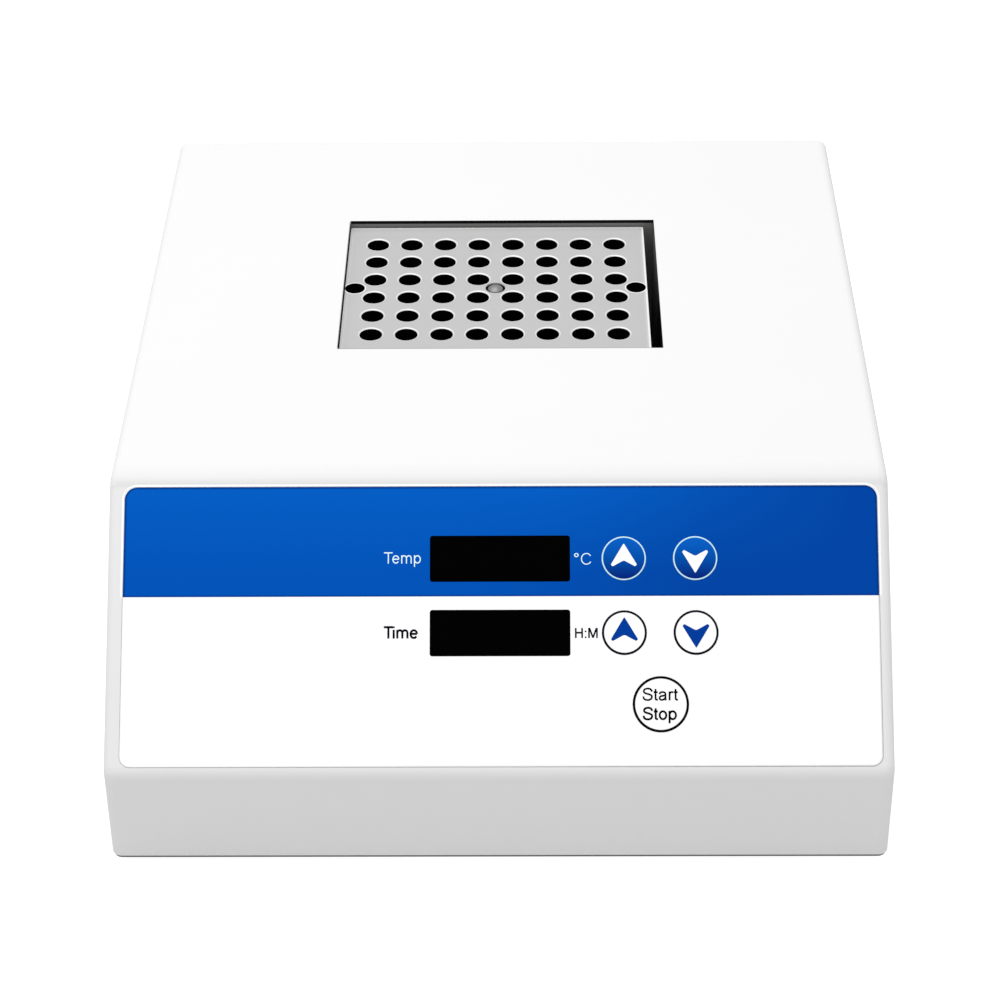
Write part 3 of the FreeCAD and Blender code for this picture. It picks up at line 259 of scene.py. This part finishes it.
# printed film: blue band above, white field below; painted light and shade on it: the blue darker to the
# right and lighter near the top, and a painted shadow line round the white field
film = {
    "white": (1.0, 1.0, 1.0),
    "blue": (0.0006, 0.0845, 0.464),
    "blueShadedRight": (0.0006, 0.058, 0.365),
    "blueLitTop": (0.0012, 0.106, 0.53),
    "edgeBlue": (0.0003, 0.03, 0.19),
    "shadeAcross": (-10.0, 70.0),
    "litTopUp": (66.0, 96.0),
    "litTopAcross": (120.0, 20.0),
    "blueEdge": (-0.9, -0.4),
    "blueEdgeDark": 0.8,
    "split": 58.87,
    "splitLine": (0.75, 0.35),
    "splitDark": 0.6,
    "bottom": 2.5,
    "top": 95.9,
    "corner": 3.5,
    "blueCorner": 4.1,
    "edgeShadowGrey": (0.55, 0.55, 0.57),
    "edgeShadowWidth": 0.35,
    "edgeShadowDepth": {"left": 0.15, "right": 0.6},
    "roughness": 0.42,
    "grainScale": 1800.0,
    "grainDepth": 0.000006,
}
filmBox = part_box("panel_overlay")


def pastFilm(f, corner):  # how far a place lies past the film's outline, in mm
    midX, halfX = span(filmBox, 0)
    midU, halfU = (film["bottom"] + film["top"]) / 2, (film["top"] - film["bottom"]) / 2
    dx = (abs(f.axis("X") - midX) - (halfX - corner)).high(0.0)
    du = (abs(f.upSlope() - midU) - (halfU - corner)).high(0.0)
    return (dx * dx + du * du) ** 0.5 - corner


def satinPrint(f):  # the fine grain that the film and the keys share
    f.bump(f.noise(film["grainScale"]), film["grainDepth"], 0.4)
    f.rough(f.noise(60.0), film["roughness"], 0.08)


def panelFilm():
    f = Finish("panelFilm", film["white"], film["roughness"], specular=0.01)
    x, u = f.axis("X"), f.upSlope()
    white, darkBlue = film["white"], film["edgeBlue"]
    # painted light and shade: the blue turns darker towards the right and lighter towards the top on the
    # left
    blue = f.mix(x.step(*film["shadeAcross"]), film["blue"], film["blueShadedRight"])
    paintedTopLight = u.step(*film["litTopUp"]) * x.step(*film["litTopAcross"])
    blue = f.mix(paintedTopLight, blue, film["blueLitTop"])
    past = pastFilm(f, film["blueCorner"])
    blue = f.mix(past.step(*film["blueEdge"]) * film["blueEdgeDark"], blue, darkBlue)
    splitLine = (u - film["split"]).step(*film["splitLine"]) * film["splitDark"]
    blue = f.mix(splitLine, blue, darkBlue)
    blue = f.mix(past.above(0.0, 0.05), blue, white)
    # painted shadow: a grey line along the edge of the white field, heavier towards the right
    edge = pastFilm(f, film["corner"]).above(-film["edgeShadowWidth"], 0.1)
    left, right = film["edgeShadowDepth"]["left"], film["edgeShadowDepth"]["right"]
    midX, halfX = span(filmBox, 0)
    dark = edge * (x.step(midX - halfX, midX + halfX) * (right - left) + left)
    field = f.mix(dark, white, film["edgeShadowGrey"])
    f.feed("Base Color", f.mix(u.above(film["split"], 0.06), field, blue))
    satinPrint(f)
    return f.material


finishes["panel_film"] = panelFilm()


# white moulding: fine grain, a painted soft shade along the crest, a bright line round the blue band
# and a dark edge in the opening that is painted shade, paler on its left side
moulding = {
    "color": (0.80, 0.80, 0.80),
    "dull": 0.988,
    "roughness": 0.5,
    "grainScale": 2600.0,
    "grainDepth": 0.000012,
    "brightLine": 0.85,
    "crestShade": 0.035,
    "crestZone": (8.0, 3.0),
    "stripShade": 0.05,
    "stripZone": (0.0, -1.5),
    "shadeFront": (-2.8, -2.0),
    "shadeUnder": (4.0, 3.4),
    "shadeSide": 3.0,
    "openingShade": (0.006, 0.006, 0.006),
    "openingLeftShade": (0.5, 0.5, 0.5),
    "openingPlay": 0.25,
    "openingSide": 0.2,
}
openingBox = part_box("heater_plate")  # the plate fills the opening's outline


# painted shade along the crest and on the strip between the crest and the film
def crestShade(f):  # y counts from the sharp corner that the crest rounds off, in mm
    crestY = beltY + (housingHigh[2] - beltZ) * slopeCos / slopeSin
    fromCrest = f.axis("Y") - crestY * 1000
    underTop = topZ - f.axis("Z")
    inFromSide = housingHigh[0] * 1000 - abs(f.axis("X"))
    shade = fromCrest.step(*moulding["crestZone"]) * moulding["crestShade"]
    shade = shade + fromCrest.step(*moulding["stripZone"]) * moulding["stripShade"]
    shade = shade * fromCrest.step(*moulding["shadeFront"]) * underTop.step(*moulding["shadeUnder"])
    return shade * inFromSide.step(0.0, moulding["shadeSide"])


def brightLine(f):  # beside the blue band, on the slope only
    line = pastFilm(f, film["blueCorner"]).below(moulding["brightLine"], 0.15)
    line = line * f.upSlope().above(film["split"], 0.5)
    return line * (topZ - f.axis("Z")).step(0.0, 0.5)


def whiteMoulding():
    f = Finish("whiteMoulding", moulding["color"], moulding["roughness"], specular=0.0)
    cloud = f.noise(30.0)
    f.rough(cloud, moulding["roughness"], 0.12)
    f.bump(f.noise(moulding["grainScale"], 3.0), moulding["grainDepth"], 0.5)
    dull = [c * moulding["dull"] for c in moulding["color"]]
    tone = f.mix(cloud, dull, moulding["color"])
    tone = f.mix(crestShade(f), tone, (0, 0, 0))
    tone = f.mix(brightLine(f), tone, (1, 1, 1))
    # painted shade: the walls of the opening turn near black, a paler grey along its left side
    (midX, halfX), (midY, halfY) = span(openingBox, 0), span(openingBox, 1)
    inX = abs(f.axis("X") - midX).below(halfX + moulding["openingPlay"], 0.05)
    inY = abs(f.axis("Y") - midY).below(halfY + moulding["openingPlay"], 0.05)
    leftSide = f.axis("X").below(midX - halfX + moulding["openingSide"], 0.1)
    edge = f.mix(leftSide, moulding["openingShade"], moulding["openingLeftShade"])
    f.feed("Base Color", f.mix(inX * inY, tone, edge))
    return f.material


finishes["white_moulding"] = whiteMoulding()


# smoked windows
window = {"color": (0.0006, 0.0006, 0.0006), "roughness": 0.3, "specular": 0.004}


def smokedWindow():
    f = Finish("smokedWindow", window["color"], window["roughness"], specular=window["specular"])
    f.rough(f.noise(90.0), window["roughness"], 0.1)
    return f.material


finishes["smoked_window"] = smokedWindow()


# keys: a printed ring round a disc, told apart by the distance from the key's centre
keyPrint = {
    "temp_up": {"radius": 7.35, "ring": 0.44, "arrow": 1},
    "temp_down": {"radius": 7.35, "ring": 0.44, "arrow": -1},
    "time_up": {"radius": 7.35, "ring": 0.67, "arrow": 1},
    "time_down": {"radius": 7.35, "ring": 0.67, "arrow": -1},
    "start_stop": {"radius": 9.2, "ring": 0.76, "arrow": 0},
}
for keyName, key in keyPrint.items():
    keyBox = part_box(keyName + "_key")
    forward, upward = span(keyBox, 1)[0] - beltY * 1000, span(keyBox, 2)[0] - beltZ * 1000
    key["x"] = span(keyBox, 0)[0]
    key["u"] = forward * slopeCos + upward * slopeSin
keyColors = {
    "blank": (0.9, 0.9, 0.9),
    "whiteRing": (0.61, 0.88, 1.0),
    "darkRing": (0.003, 0.004, 0.010),
    "blackRing": (0.001, 0.001, 0.002),
    "discTop": (0.003, 0.115, 0.55),
    "discMiddle": (0.001, 0.078, 0.40),
    "discLow": (0.002, 0.017, 0.19),
    "discFade": 6.5,
    "white": (1.0, 1.0, 1.0),
}


def keyFinish(name):
    key = keyPrint[name]
    f = Finish(name + "Print", keyColors["blank"], film["roughness"], specular=0.01)
    dx, du = f.axis("X") - key["x"], f.upSlope() - key["u"]
    distance = (dx * dx + du * du) ** 0.5
    ring = distance.above(key["radius"] - key["ring"], 0.08)
    disc = keyColors["white"]
    line = keyColors["darkRing"]
    if name.startswith("temp"):
        line = keyColors["whiteRing"]
        fade = keyColors["discFade"]
        lower = f.mix(du.step(-fade, 0.0), keyColors["discLow"], keyColors["discMiddle"])
        disc = f.mix(du.step(0.0, fade), lower, keyColors["discTop"])
    elif name == "start_stop":
        line = keyColors["blackRing"]
    f.feed("Base Color", f.mix(ring, disc, line))
    satinPrint(f)
    return f.material


ownFinishes = {name + "_key": keyFinish(name) for name in keyPrint}


# blasted aluminium block: painted highlights on the rims of the bores and on the back and right top
# edges, painted shade in the bores below them, and painted light on the top near the back and sides
block = {
    "tone": (0.50, 0.50, 0.50),
    "dull": 0.97,
    "litTone": (0.60, 0.60, 0.60),
    "rim": (0.82, 0.82, 0.82),
    "bore": (0.0015, 0.0015, 0.0015),
    "roughness": 0.55,
    "metal": 0.5,
    "grainScale": 3200.0,
    "grainDepth": 0.00001,
    "topDepth": 0.75,
    "rimDepth": (0.45, 0.55),
    "rimTop": (0.02, 0.06),
    "insideFrom": 0.15,
    "pitch": 12.83,
    "columns": 8,
    "rows": 6,
    "patternPlay": 0.02,
    "patternShift": -0.25,
    "wellRadius": 4.12,
    "wellRim": 4.6,
    "liftHoleAcross": 52.2,
    "liftHoleRadius": 3.68,
    "liftHoleRim": 4.1,
    "sideHighlight": (0.8, 0.5),
    "sideLitZone": (1.8, 0.3),
    "backHighlight": (1.3, 0.7),
    "backHighlightShare": 0.6,
    "backLitZone": (7.0, 0.0),
    "backLitShare": 0.8,
}


def blockAluminium():
    f = Finish("blockAluminium", block["tone"], block["roughness"], block["metal"], specular=0.0)
    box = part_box("heating_block")
    (midX, halfX), (midY, halfY) = span(box, 0), span(box, 1)
    x, y = f.axis("X") - midX, f.axis("Y") - midY
    depth = box[1][2] * 1000 - f.axis("Z")
    innerX, innerY = halfX - block["insideFrom"], halfY - block["insideFrom"]
    inside = abs(x).below(innerX, 0.05) * abs(y).below(innerY, 0.05)

    # distance from the nearest well's middle, and from the lifting holes
    px = x - block["patternShift"]
    across, along = px / block["pitch"], y / block["pitch"]
    lastColumn, lastRow = block["columns"] / 2, block["rows"] / 2
    inPattern = abs(across).step(lastColumn + block["patternPlay"], lastColumn)
    inPattern = inPattern * abs(along).step(lastRow + block["patternPlay"], lastRow)
    dx, dy = ((cell.part() - 0.5) * block["pitch"] for cell in (across, along))
    fromWell = (dx * dx + dy * dy) ** 0.5 + (1 - inPattern) * block["pitch"]
    dx = abs(px) - block["liftHoleAcross"]
    fromLift = (dx * dx + y * y) ** 0.5

    # painted highlights on the rims and edges, painted shade in the holes
    ring = fromWell.below(block["wellRim"], 0.1).high(fromLift.below(block["liftHoleRim"], 0.1))
    ring = ring.high((halfX - x).step(*block["sideHighlight"]))
    ring = ring.high((halfY - y).step(*block["backHighlight"]) * block["backHighlightShare"])
    # painted shade: the bores turn near black just below their rims
    hole = fromWell.below(block["wellRadius"], 0.05)
    hole = hole.high(fromLift.below(block["liftHoleRadius"], 0.05))
    onTop = depth.below(block["topDepth"], 0.05)
    bore = (hole * onTop).high(depth.step(*block["rimDepth"]) * inside)
    rim = (ring * onTop).high(depth.step(*block["rimTop"]) * inside)
    # painted light: the top is lighter near the back edge and along the sides
    litMask = (halfY - y).step(*block["backLitZone"]) * block["backLitShare"]
    litMask = litMask.high((halfX - abs(x)).step(*block["sideLitZone"]))

    cloud = f.noise(45.0)
    dull = [c * block["dull"] for c in block["tone"]]
    tone = f.mix(cloud, dull, block["tone"])
    tone = f.mix(litMask * onTop, tone, block["litTone"])
    tone = f.mix(rim, tone, block["rim"])
    f.feed("Base Color", f.mix(bore, tone, block["bore"]))
    f.rough(cloud, block["roughness"], 0.1)
    f.feed("Metallic", (1 - bore) * block["metal"])
    f.bump(f.noise(block["grainScale"], 3.0), block["grainDepth"], 0.5)
    return f.material


finishes["block_aluminium"] = blockAluminium()


# other metals
def plainMetal(name, color, roughness, metallic=1.0, stretch=(1, 1, 1), scale=900.0, depth=0.000004):
    f = Finish(name, color, roughness, metallic)
    lines = f.noise(scale, 3.0, 0.6, stretch)
    f.rough(lines, roughness, 0.16)
    f.bump(lines, depth, 0.5)
    f.vary(f.noise(70.0), 0.06)
    return f.material


finishes["bright_screw"] = plainMetal("satinScrew", (0.22, 0.22, 0.22), 0.5)
finishes["zinc_steel"] = plainMetal("zincSteel", (0.55, 0.56, 0.58), 0.34)
finishes["plate_aluminium"] = plainMetal("milledAluminium", (0.66, 0.66, 0.67), 0.36, stretch=(1, 12, 1))
finishes["tray_steel"] = plainMetal("trayPaint", (0.12, 0.12, 0.12), 0.5, metallic=0.0, depth=0.00001)
finishes["core_steel"] = plainMetal("coreLaminations", (0.10, 0.10, 0.11), 0.45, 0.7, (1, 60, 1), 400.0)
finishes["pin_brass"] = plainMetal("platedBrass", (0.46, 0.42, 0.31), 0.3)


# lining of the opening: grey paint, with painted shade under the lip and towards the front
lining = {
    "grey": (0.23, 0.23, 0.226),
    "dark": (0.006, 0.006, 0.006),
    "roughness": 0.6,
    "lipDepth": 1.35,
    "backGap": 0.9,
    "shadeFadeRight": (52.0, 10.0),
    "shadeFadeLeft": (88.0, 70.0),
}


def sleeveGrey():
    f = Finish("sleeveGrey", lining["grey"], lining["roughness"], specular=0.05)
    fromBack = openingBox[1][1] * 1000 - f.axis("Y")
    onRight = f.axis("X").above(0.0, 0.5)
    fade = fromBack.step(*lining["shadeFadeRight"]) * onRight
    fade = fade + fromBack.step(*lining["shadeFadeLeft"]) * (1 - onRight)
    under = (topZ - f.axis("Z")).above(lining["lipDepth"], 0.1)
    under = under.high(fromBack.above(lining["backGap"], 0.1))
    # painted shade: dark in a line under the lip at the back and dark towards the front, sooner on the
    # right
    f.feed("Base Color", f.mix(fade * under, lining["dark"], lining["grey"]))
    f.rough(f.noise(300.0), lining["roughness"], 0.1)
    return f.material


finishes["grey_sleeve"] = sleeveGrey()


# plastics, rubber, fibre and leads
def mouldedGrain(f, roughness, scale=1500.0, depth=0.00001):
    f.bump(f.noise(scale, 3.0), depth, 0.6)
    cloud = f.noise(55.0)
    f.rough(cloud, roughness, 0.14)
    return cloud


def plainSolid(name, color, roughness, scale=1500.0, depth=0.00001, specular=0.4, spread=0.05):
    f = Finish(name, color, roughness, specular=specular)
    f.vary(mouldedGrain(f, roughness, scale, depth), spread)
    return f.material


finishes["foot_rubber"] = plainSolid("footRubber", (0.018, 0.018, 0.018), 0.8, 1200.0, 0.00002)
finishes["black_part"] = plainSolid("blackMoulding", (0.012, 0.012, 0.013), 0.45, specular=0.35)
finishes["display_module"] = plainSolid("displayFace", (0.02, 0.02, 0.022), 0.4)
finishes["silicone"] = plainSolid("heaterSilicone", (0.42, 0.09, 0.03), 0.7, 700.0, 0.00003)
finishes["fibre"] = plainSolid("insulationFibre", (0.72, 0.70, 0.62), 0.95, 420.0, 0.0002, 0.1, 0.12)
finishes["cream_part"] = plainSolid("creamMoulding", (0.62, 0.56, 0.42), 0.5)
finishes["white_nylon"] = plainSolid("whiteNylon", (0.78, 0.77, 0.73), 0.5)
finishes["coil_copper"] = plainSolid("coilTape", (0.45, 0.27, 0.05), 0.4, 500.0, 0.00003)
finishes["lead_dark"] = plainSolid("leadDark", (0.02, 0.02, 0.03), 0.5)
finishes["lead_red"] = plainSolid("leadRed", (0.40, 0.02, 0.02), 0.5)
finishes["lead_grey"] = plainSolid("leadGrey", (0.30, 0.31, 0.33), 0.5)


# green boards with paler tracks between their cells
board = {
    "green": (0.012, 0.12, 0.05),
    "deepGreen": (0.012, 0.10, 0.045),
    "track": (0.03, 0.22, 0.09),
    "cells": 120.0,
    "trackWidth": 0.04,
}


def circuitBoard():
    f = Finish("circuitBoard", board["green"], 0.35)
    values = {"Vector": f.place, "Scale": board["cells"], "Mortar Size": board["trackWidth"]}
    for socket, tone in (("Color1", "green"), ("Color2", "deepGreen"), ("Mortar", "track")):
        values[socket] = (*board[tone], 1)
    f.feed("Base Color", f.node("ShaderNodeTexBrick", {"offset": 0.5}, values))
    return f.material


finishes["circuit_board"] = circuitBoard()


# fuses: a pale glass tube between two metal caps
fuse = {
    "blank": (0.85, 0.88, 0.88),
    "glass": (0.75, 0.80, 0.80),
    "cap": (0.62, 0.60, 0.55),
    "halfGlass": 5.0,
}


def fuseGlass():
    f = Finish("fuseGlass", fuse["blank"], 0.08)
    cap = abs(f.axis("X") - span(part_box("fuses"), 0)[0]).above(fuse["halfGlass"], 0.1)
    f.feed("Base Color", f.mix(cap, fuse["glass"], fuse["cap"]))
    f.feed("Metallic", cap)
    return f.material


finishes["fuse_glass"] = fuseGlass()


# rocker: a bar on its raised end and a ring on the end pressed in, on faces that meet at a ridge
rocker = {
    "black": (0.012, 0.012, 0.013),
    "print": (0.75, 0.75, 0.75),
    "roughness": 0.4,
    "tilt": 9.0,
    "fromRidge": 3.9,
    "barHeight": 3.2,
    "ringRadius": 1.45,
    "stroke": 0.5,
    "inkDepth": 3.15,
}


def rockerFinish():
    f = Finish("rockerMoulding", rocker["black"], rocker["roughness"], specular=0.35)
    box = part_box("power_rocker")
    rear = box[1][1]
    joints = frame["record"]["behaviour"]["joints"]
    hinge = next(joint["pos_m"] for joint in joints if joint["name"] == "power_rocker_tilt")
    ridge = hinge[2] - (rear - hinge[1]) * math.tan(math.radians(rocker["tilt"]))
    x, z = f.axis("X") - span(box, 0)[0], f.axis("Z") - ridge * 1000
    half, soft = rocker["stroke"] / 2, 0.05
    bar = abs(z - rocker["fromRidge"]).below(rocker["barHeight"] / 2, soft)
    bar = bar * abs(x).below(half, soft)
    down = z / -math.cos(math.radians(2 * rocker["tilt"])) - rocker["fromRidge"]
    reach = (x * x + down * down) ** 0.5
    circle = abs(reach - rocker["ringRadius"] + half).below(half, soft)
    outside = (rear * 1000 - f.axis("Y")).below(rocker["inkDepth"], soft)
    mark = bar.high(circle) * outside
    f.feed("Base Color", f.mix(mark, rocker["black"], rocker["print"]))
    mouldedGrain(f, rocker["roughness"])
    return f.material


ownFinishes["power_rocker"] = rockerFinish()


# each piece gets the finish of its slot, and the keys and the rocker their own
slotOf = {entry["node"]: entry["material_slot"] for entry in frame["record"]["subparts"]}
for node, obj in nodes.items():
    material = ownFinishes.get(node) or finishes[slotOf[node]]
    for slot in obj.material_slots:
        slot.material = material
print("materials made:", len(bpy.data.materials))


# printed arrows and words, a hair above the film and the keys; crossing strokes lie on
# levels of their own
inkHeight = {"film": 0.12, "key": 0.32, "layer": 0.001}
inkColors = {
    "white": (1.0, 1.0, 1.0),
    "pale": (0.80, 0.98, 1.0),
    "blue": (0.001, 0.045, 0.32),
    "dark": (0.002, 0.003, 0.008),
    "black": (0.001, 0.001, 0.001),
}
inkRoughness = 0.45


def inkFinish(name):
    f = Finish(name + "Ink", inkColors[name], inkRoughness, specular=0.01)
    f.rough(f.noise(400.0), inkRoughness, 0.1)
    return f.material


inks = {name: inkFinish(name) for name in inkColors}


def placeMesh(name, mesh, material, body):
    mesh.materials.clear()
    mesh.materials.append(material)
    obj = bpy.data.objects.new(name, mesh)
    bpy.context.scene.collection.objects.link(obj)
    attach(obj, body)
    return obj


def onPanel(x, u, w):  # from mm on the panel to a place in the scene
    return panelMatrix @ (Vector((x, u, w)) * mm)


def softCorners(points, radii, steps=6):  # the outline with its corners rounded
    out = []
    count = len(points)
    for i in range(count):
        here = Vector(points[i])
        before = (Vector(points[i - 1]) - here).normalized()
        after = (Vector(points[(i + 1) % count]) - here).normalized()
        a, b = here + before * radii[i], here + after * radii[i]
        for k in range(steps + 1):
            t = k / steps
            out.append(a * (1 - t) ** 2 + here * 2 * t * (1 - t) + b * t**2)
    return out


arrow = {
    "points": [(0.0, 5.25), (4.5, -2.2), (3.9, -2.85), (0.0, -0.7), (-3.9, -2.85), (-4.5, -2.2)],
    "radii": [0.45, 0.3, 0.35, 0.7, 0.35, 0.3],
    "color": {"temp": "white", "time": "blue"},
    "size": {"temp": 0.96, "time": 1.0},
}


def makeArrow(name):
    key = keyPrint[name]
    row = name.split("_")[0]
    outline = [p * arrow["size"][row] for p in softCorners(arrow["points"], arrow["radii"])]
    bm = bmesh.new()
    corners = []
    for p in outline:
        at = onPanel(key["x"] + p.x, key["u"] + p.y * key["arrow"], inkHeight["key"])
        corners.append(bm.verts.new(at))
    face = bm.faces.new(corners)
    face.normal_update()
    if face.normal.y > 0:
        face.normal_flip()
    mesh = bpy.data.meshes.new(name + "_arrow")
    bm.to_mesh(mesh)
    bm.free()
    shade = inks[arrow["color"][row]]
    placeMesh(name + "_arrow", mesh, shade, name)


for keyName, key in keyPrint.items():
    if key["arrow"]:
        makeArrow(keyName)


def roundLine(x, y, rx, ry, start=0, end=360, steps=28):
    turns = [math.radians(start + (end - start) * i / steps) for i in range(steps + 1)]
    return [(x + rx * math.cos(t), y + ry * math.sin(t)) for t in turns]


def between(before, start, end, after, t):  # one coordinate of a curve from start to end
    bend = 2 * before - 5 * start + 4 * end - after
    twist = 3 * start - before - 3 * end + after
    return 0.5 * (2 * start + (end - before) * t + bend * t**2 + twist * t**3)


def smoothLine(points, steps=5):  # a soft line through the points
    out = []
    ends = [points[0], *points, points[-1]]
    for four in zip(ends, ends[1:], ends[2:], ends[3:]):
        for i in range(steps):
            out.append(tuple(between(*places, i / steps) for places in zip(*four)))
    return out + [points[-1]]


# each letter: its advance and the middle lines of its strokes, in thousandths of the type size
capUnits = 716
letters = {
    "T": (520, [(306, 0), (306, 674)], [(25, 674), (586, 674)]),
    "e": (556, roundLine(278, 260, 193, 228, 3, 325), [(88, 272), (470, 272)]),
    "m": (
        833,
        [(110, 0), (110, 519)],
        roundLine(263, 335, 153, 152, 180, 0, 16) + [(416, 0)],
        roundLine(570, 335, 154, 152, 180, 0, 16) + [(724, 0)],
    ),
    "p": (556, [(110, -210), (110, 519)], roundLine(299, 260, 189, 228)),
    "°": (400, roundLine(200, 590, 100, 100)),
    "C": (722, roundLine(372, 359, 283, 334, 33, 328)),
    "i": (222, [(111, 0), (111, 519)], [(111, 614), (111, capUnits)]),
    "H": (722, [(124, 0), (124, capUnits)], [(599, 0), (599, capUnits)], [(124, 376), (599, 376)]),
    ":": (278, [(139, 0), (139, 104)], [(139, 415), (139, 519)]),
    "M": (
        833,
        [(118, 0), (118, capUnits)],
        [(715, 0), (715, capUnits)],
        [(146, capUnits), (417, 20)],
        [(687, capUnits), (417, 20)],
    ),
    "S": (
        667,
        smoothLine(
            [(582, 512), (560, 600), (470, 676), (338, 694), (196, 664), (118, 572)]
            + [(138, 470), (250, 408), (420, 358), (550, 292), (583, 200), (536, 92)]
            + [(430, 36), (326, 24), (196, 48), (108, 128), (86, 236)]
        ),
    ),
    "t": (
        278,
        smoothLine([(131, 672), (131, 500), (131, 130), (150, 62), (200, 40), (262, 44)]),
        [(18, 482), (254, 482)],
    ),
    "a": (
        556,
        smoothLine(
            [(82, 366), (118, 442), (200, 482), (290, 488), (380, 464)]
            + [(426, 396), (428, 300), (428, 150), (446, 0)]
        ),
        smoothLine(
            [(426, 304), (330, 278), (180, 252), (98, 196), (86, 120)]
            + [(134, 50), (224, 31), (330, 58), (412, 136)]
        ),
    ),
    "r": (
        333,
        [(110, 0), (110, 519)],
        smoothLine([(110, 300), (128, 410), (182, 470), (250, 486), (326, 462)]),
    ),
    "o": (556, roundLine(278, 260, 193, 228)),
}

# words: their left and right ends, foot line and height of a capital in mm, and width of stroke
filmWords = {
    "temp_word": dict(text="Temp", x=(-38.0, -25.75), base=69.95, cap=3.83, ink="pale", stroke=72),
    "degree_word": dict(text="°C", x=(25.2, 30.85), base=69.42, cap=3.88, ink="pale", stroke=59),
    "time_word": dict(text="Time", x=(-37.95, -26.6), base=44.88, cap=4.02, ink="dark", stroke=131),
    "hour_word": dict(text="H:M", x=(25.35, 32.9), base=44.9, cap=3.35, ink="dark", stroke=126),
}
keyWords = {
    "start_word": dict(text="Start", x=(-6.05, 5.65), base=1.24, cap=4.05, ink="black", stroke=107),
    "stop_word": dict(text="Stop", x=(-6.05, 5.25), base=-5.12, cap=4.05, ink="black", stroke=122),
}


def strokeBand(points, half):  # left and right edges of a line with a width
    left, right = [], []
    for i, (x, y) in enumerate(points):
        back, on = points[max(i - 1, 0)], points[min(i + 1, len(points) - 1)]
        if i in (0, len(points) - 1) and points[0] == points[-1]:
            back, on = points[-2], points[1]
        along = Vector((on[0] - back[0], on[1] - back[1])).normalized() * half
        left.append((x - along.y, y + along.x))
        right.append((x + along.y, y - along.x))
    return left, right


def wordBands(word):  # the strokes of all letters, one after another
    bands = []
    pen = 0
    for letter in word["text"]:
        advance, *strokes = letters[letter]
        for stroke in strokes:
            line = [(round(x + pen, 3), round(y, 3)) for x, y in stroke]
            bands.append(strokeBand(line, word["stroke"] / 2))
        pen += advance
    return bands


def makeWord(name, word, onKey):  # words on the key count from its middle
    bands = wordBands(word)
    xs = [x for band in bands for edge in band for x, y in edge]
    key = keyPrint["start_stop"]
    startX, startU = (key["x"], key["u"]) if onKey else (0, 0)
    startX, startU = startX + word["x"][0], startU + word["base"]
    scaleX = (word["x"][1] - word["x"][0]) / (max(xs) - min(xs))
    scaleU = word["cap"] / capUnits
    bm = bmesh.new()
    for level, band in enumerate(bands):
        w = inkHeight["key" if onKey else "film"] + inkHeight["layer"] * (level % 3)
        rows = []
        for edge in band:
            spots = [onPanel(startX + (x - min(xs)) * scaleX, startU + y * scaleU, w) for x, y in edge]
            rows.append([bm.verts.new(spot) for spot in spots])
        left, right = rows
        for i in range(len(left) - 1):
            bm.faces.new((right[i], right[i + 1], left[i + 1], left[i]))
    mesh = bpy.data.meshes.new(name)
    bm.to_mesh(mesh)
    bm.free()
    body, slot = ("start_stop", "start_key") if onKey else ("housing", "panel_film")
    placeMesh(name, mesh, inks[word["ink"]], body)


for wordName, word in filmWords.items():
    makeWord(wordName, word, False)
for wordName, word in keyWords.items():
    makeWord(wordName, word, True)
print("prints made:", len(filmWords) + len(keyWords), "words")


# floor, surroundings and lamp
studio = {
    "ambient": 0.72,
    "backdrop": 1.0,
    "floorSize": 12.0,
    "floorGlow": 0.95,
    "floorTone": 0.3,
    "floorBounce": 0.73,
    "lampPower": 10.4,
    "lampSize": 1.2,
    "lampPlace": (-0.21, 0.02, 1.35),
    "lampAim": (0, 0, 0.06),
}


def makeFloor():
    bpy.ops.mesh.primitive_grid_add(x_subdivisions=8, y_subdivisions=8, size=studio["floorSize"])
    floor = bpy.context.object
    floor.name = "floor"
    f = Finish("floorPaper", (studio["floorBounce"],) * 3, 0.9, specular=0.1)
    glowing = {"Color": (1, 1, 1, 1), "Strength": studio["floorGlow"]}
    glow = f.node("ShaderNodeEmission", {}, glowing)
    paper = f.node("ShaderNodeBsdfDiffuse", {}, {"Color": (*(studio["floorTone"],) * 3, 1)})
    white = f.node("ShaderNodeAddShader", {}, {0: glow, 1: paper})
    plain = Wire(f, f.shader.outputs[0])
    both = f.node("ShaderNodeMixShader", {}, {0: f.seen(), 1: plain, 2: white})
    f.link(both, "Material Output", "Surface")
    floor.data.materials.append(f.material)


def makeWorld():
    world = bpy.data.worlds.new("studio")
    world.use_nodes = True
    bpy.context.scene.world = world
    world.node_tree.nodes.remove(world.node_tree.nodes["Background"])
    sky = Tree(world.node_tree)
    soft, white = (
        sky.node("ShaderNodeBackground", {}, {"Color": (1, 1, 1, 1), "Strength": strength})
        for strength in (studio["ambient"], studio["backdrop"])
    )
    both = sky.node("ShaderNodeMixShader", {}, {0: sky.seen(), 1: soft, 2: white})
    sky.link(both, "World Output", "Surface")


def makeLamp():
    data = bpy.data.lights.new("topLamp", type="AREA")
    data.shape = "SQUARE"
    data.size = studio["lampSize"]
    data.energy = studio["lampPower"]
    lamp = bpy.data.objects.new("topLamp", data)
    bpy.context.scene.collection.objects.link(lamp)
    lamp.location = studio["lampPlace"]
    down = Vector(studio["lampAim"]) - Vector(studio["lampPlace"])
    lamp.rotation_euler = down.to_track_quat("-Z", "Y").to_euler()


makeFloor()
makeWorld()
makeLamp()
bpy.context.scene.view_settings.view_transform = "Standard"
print("studio made")
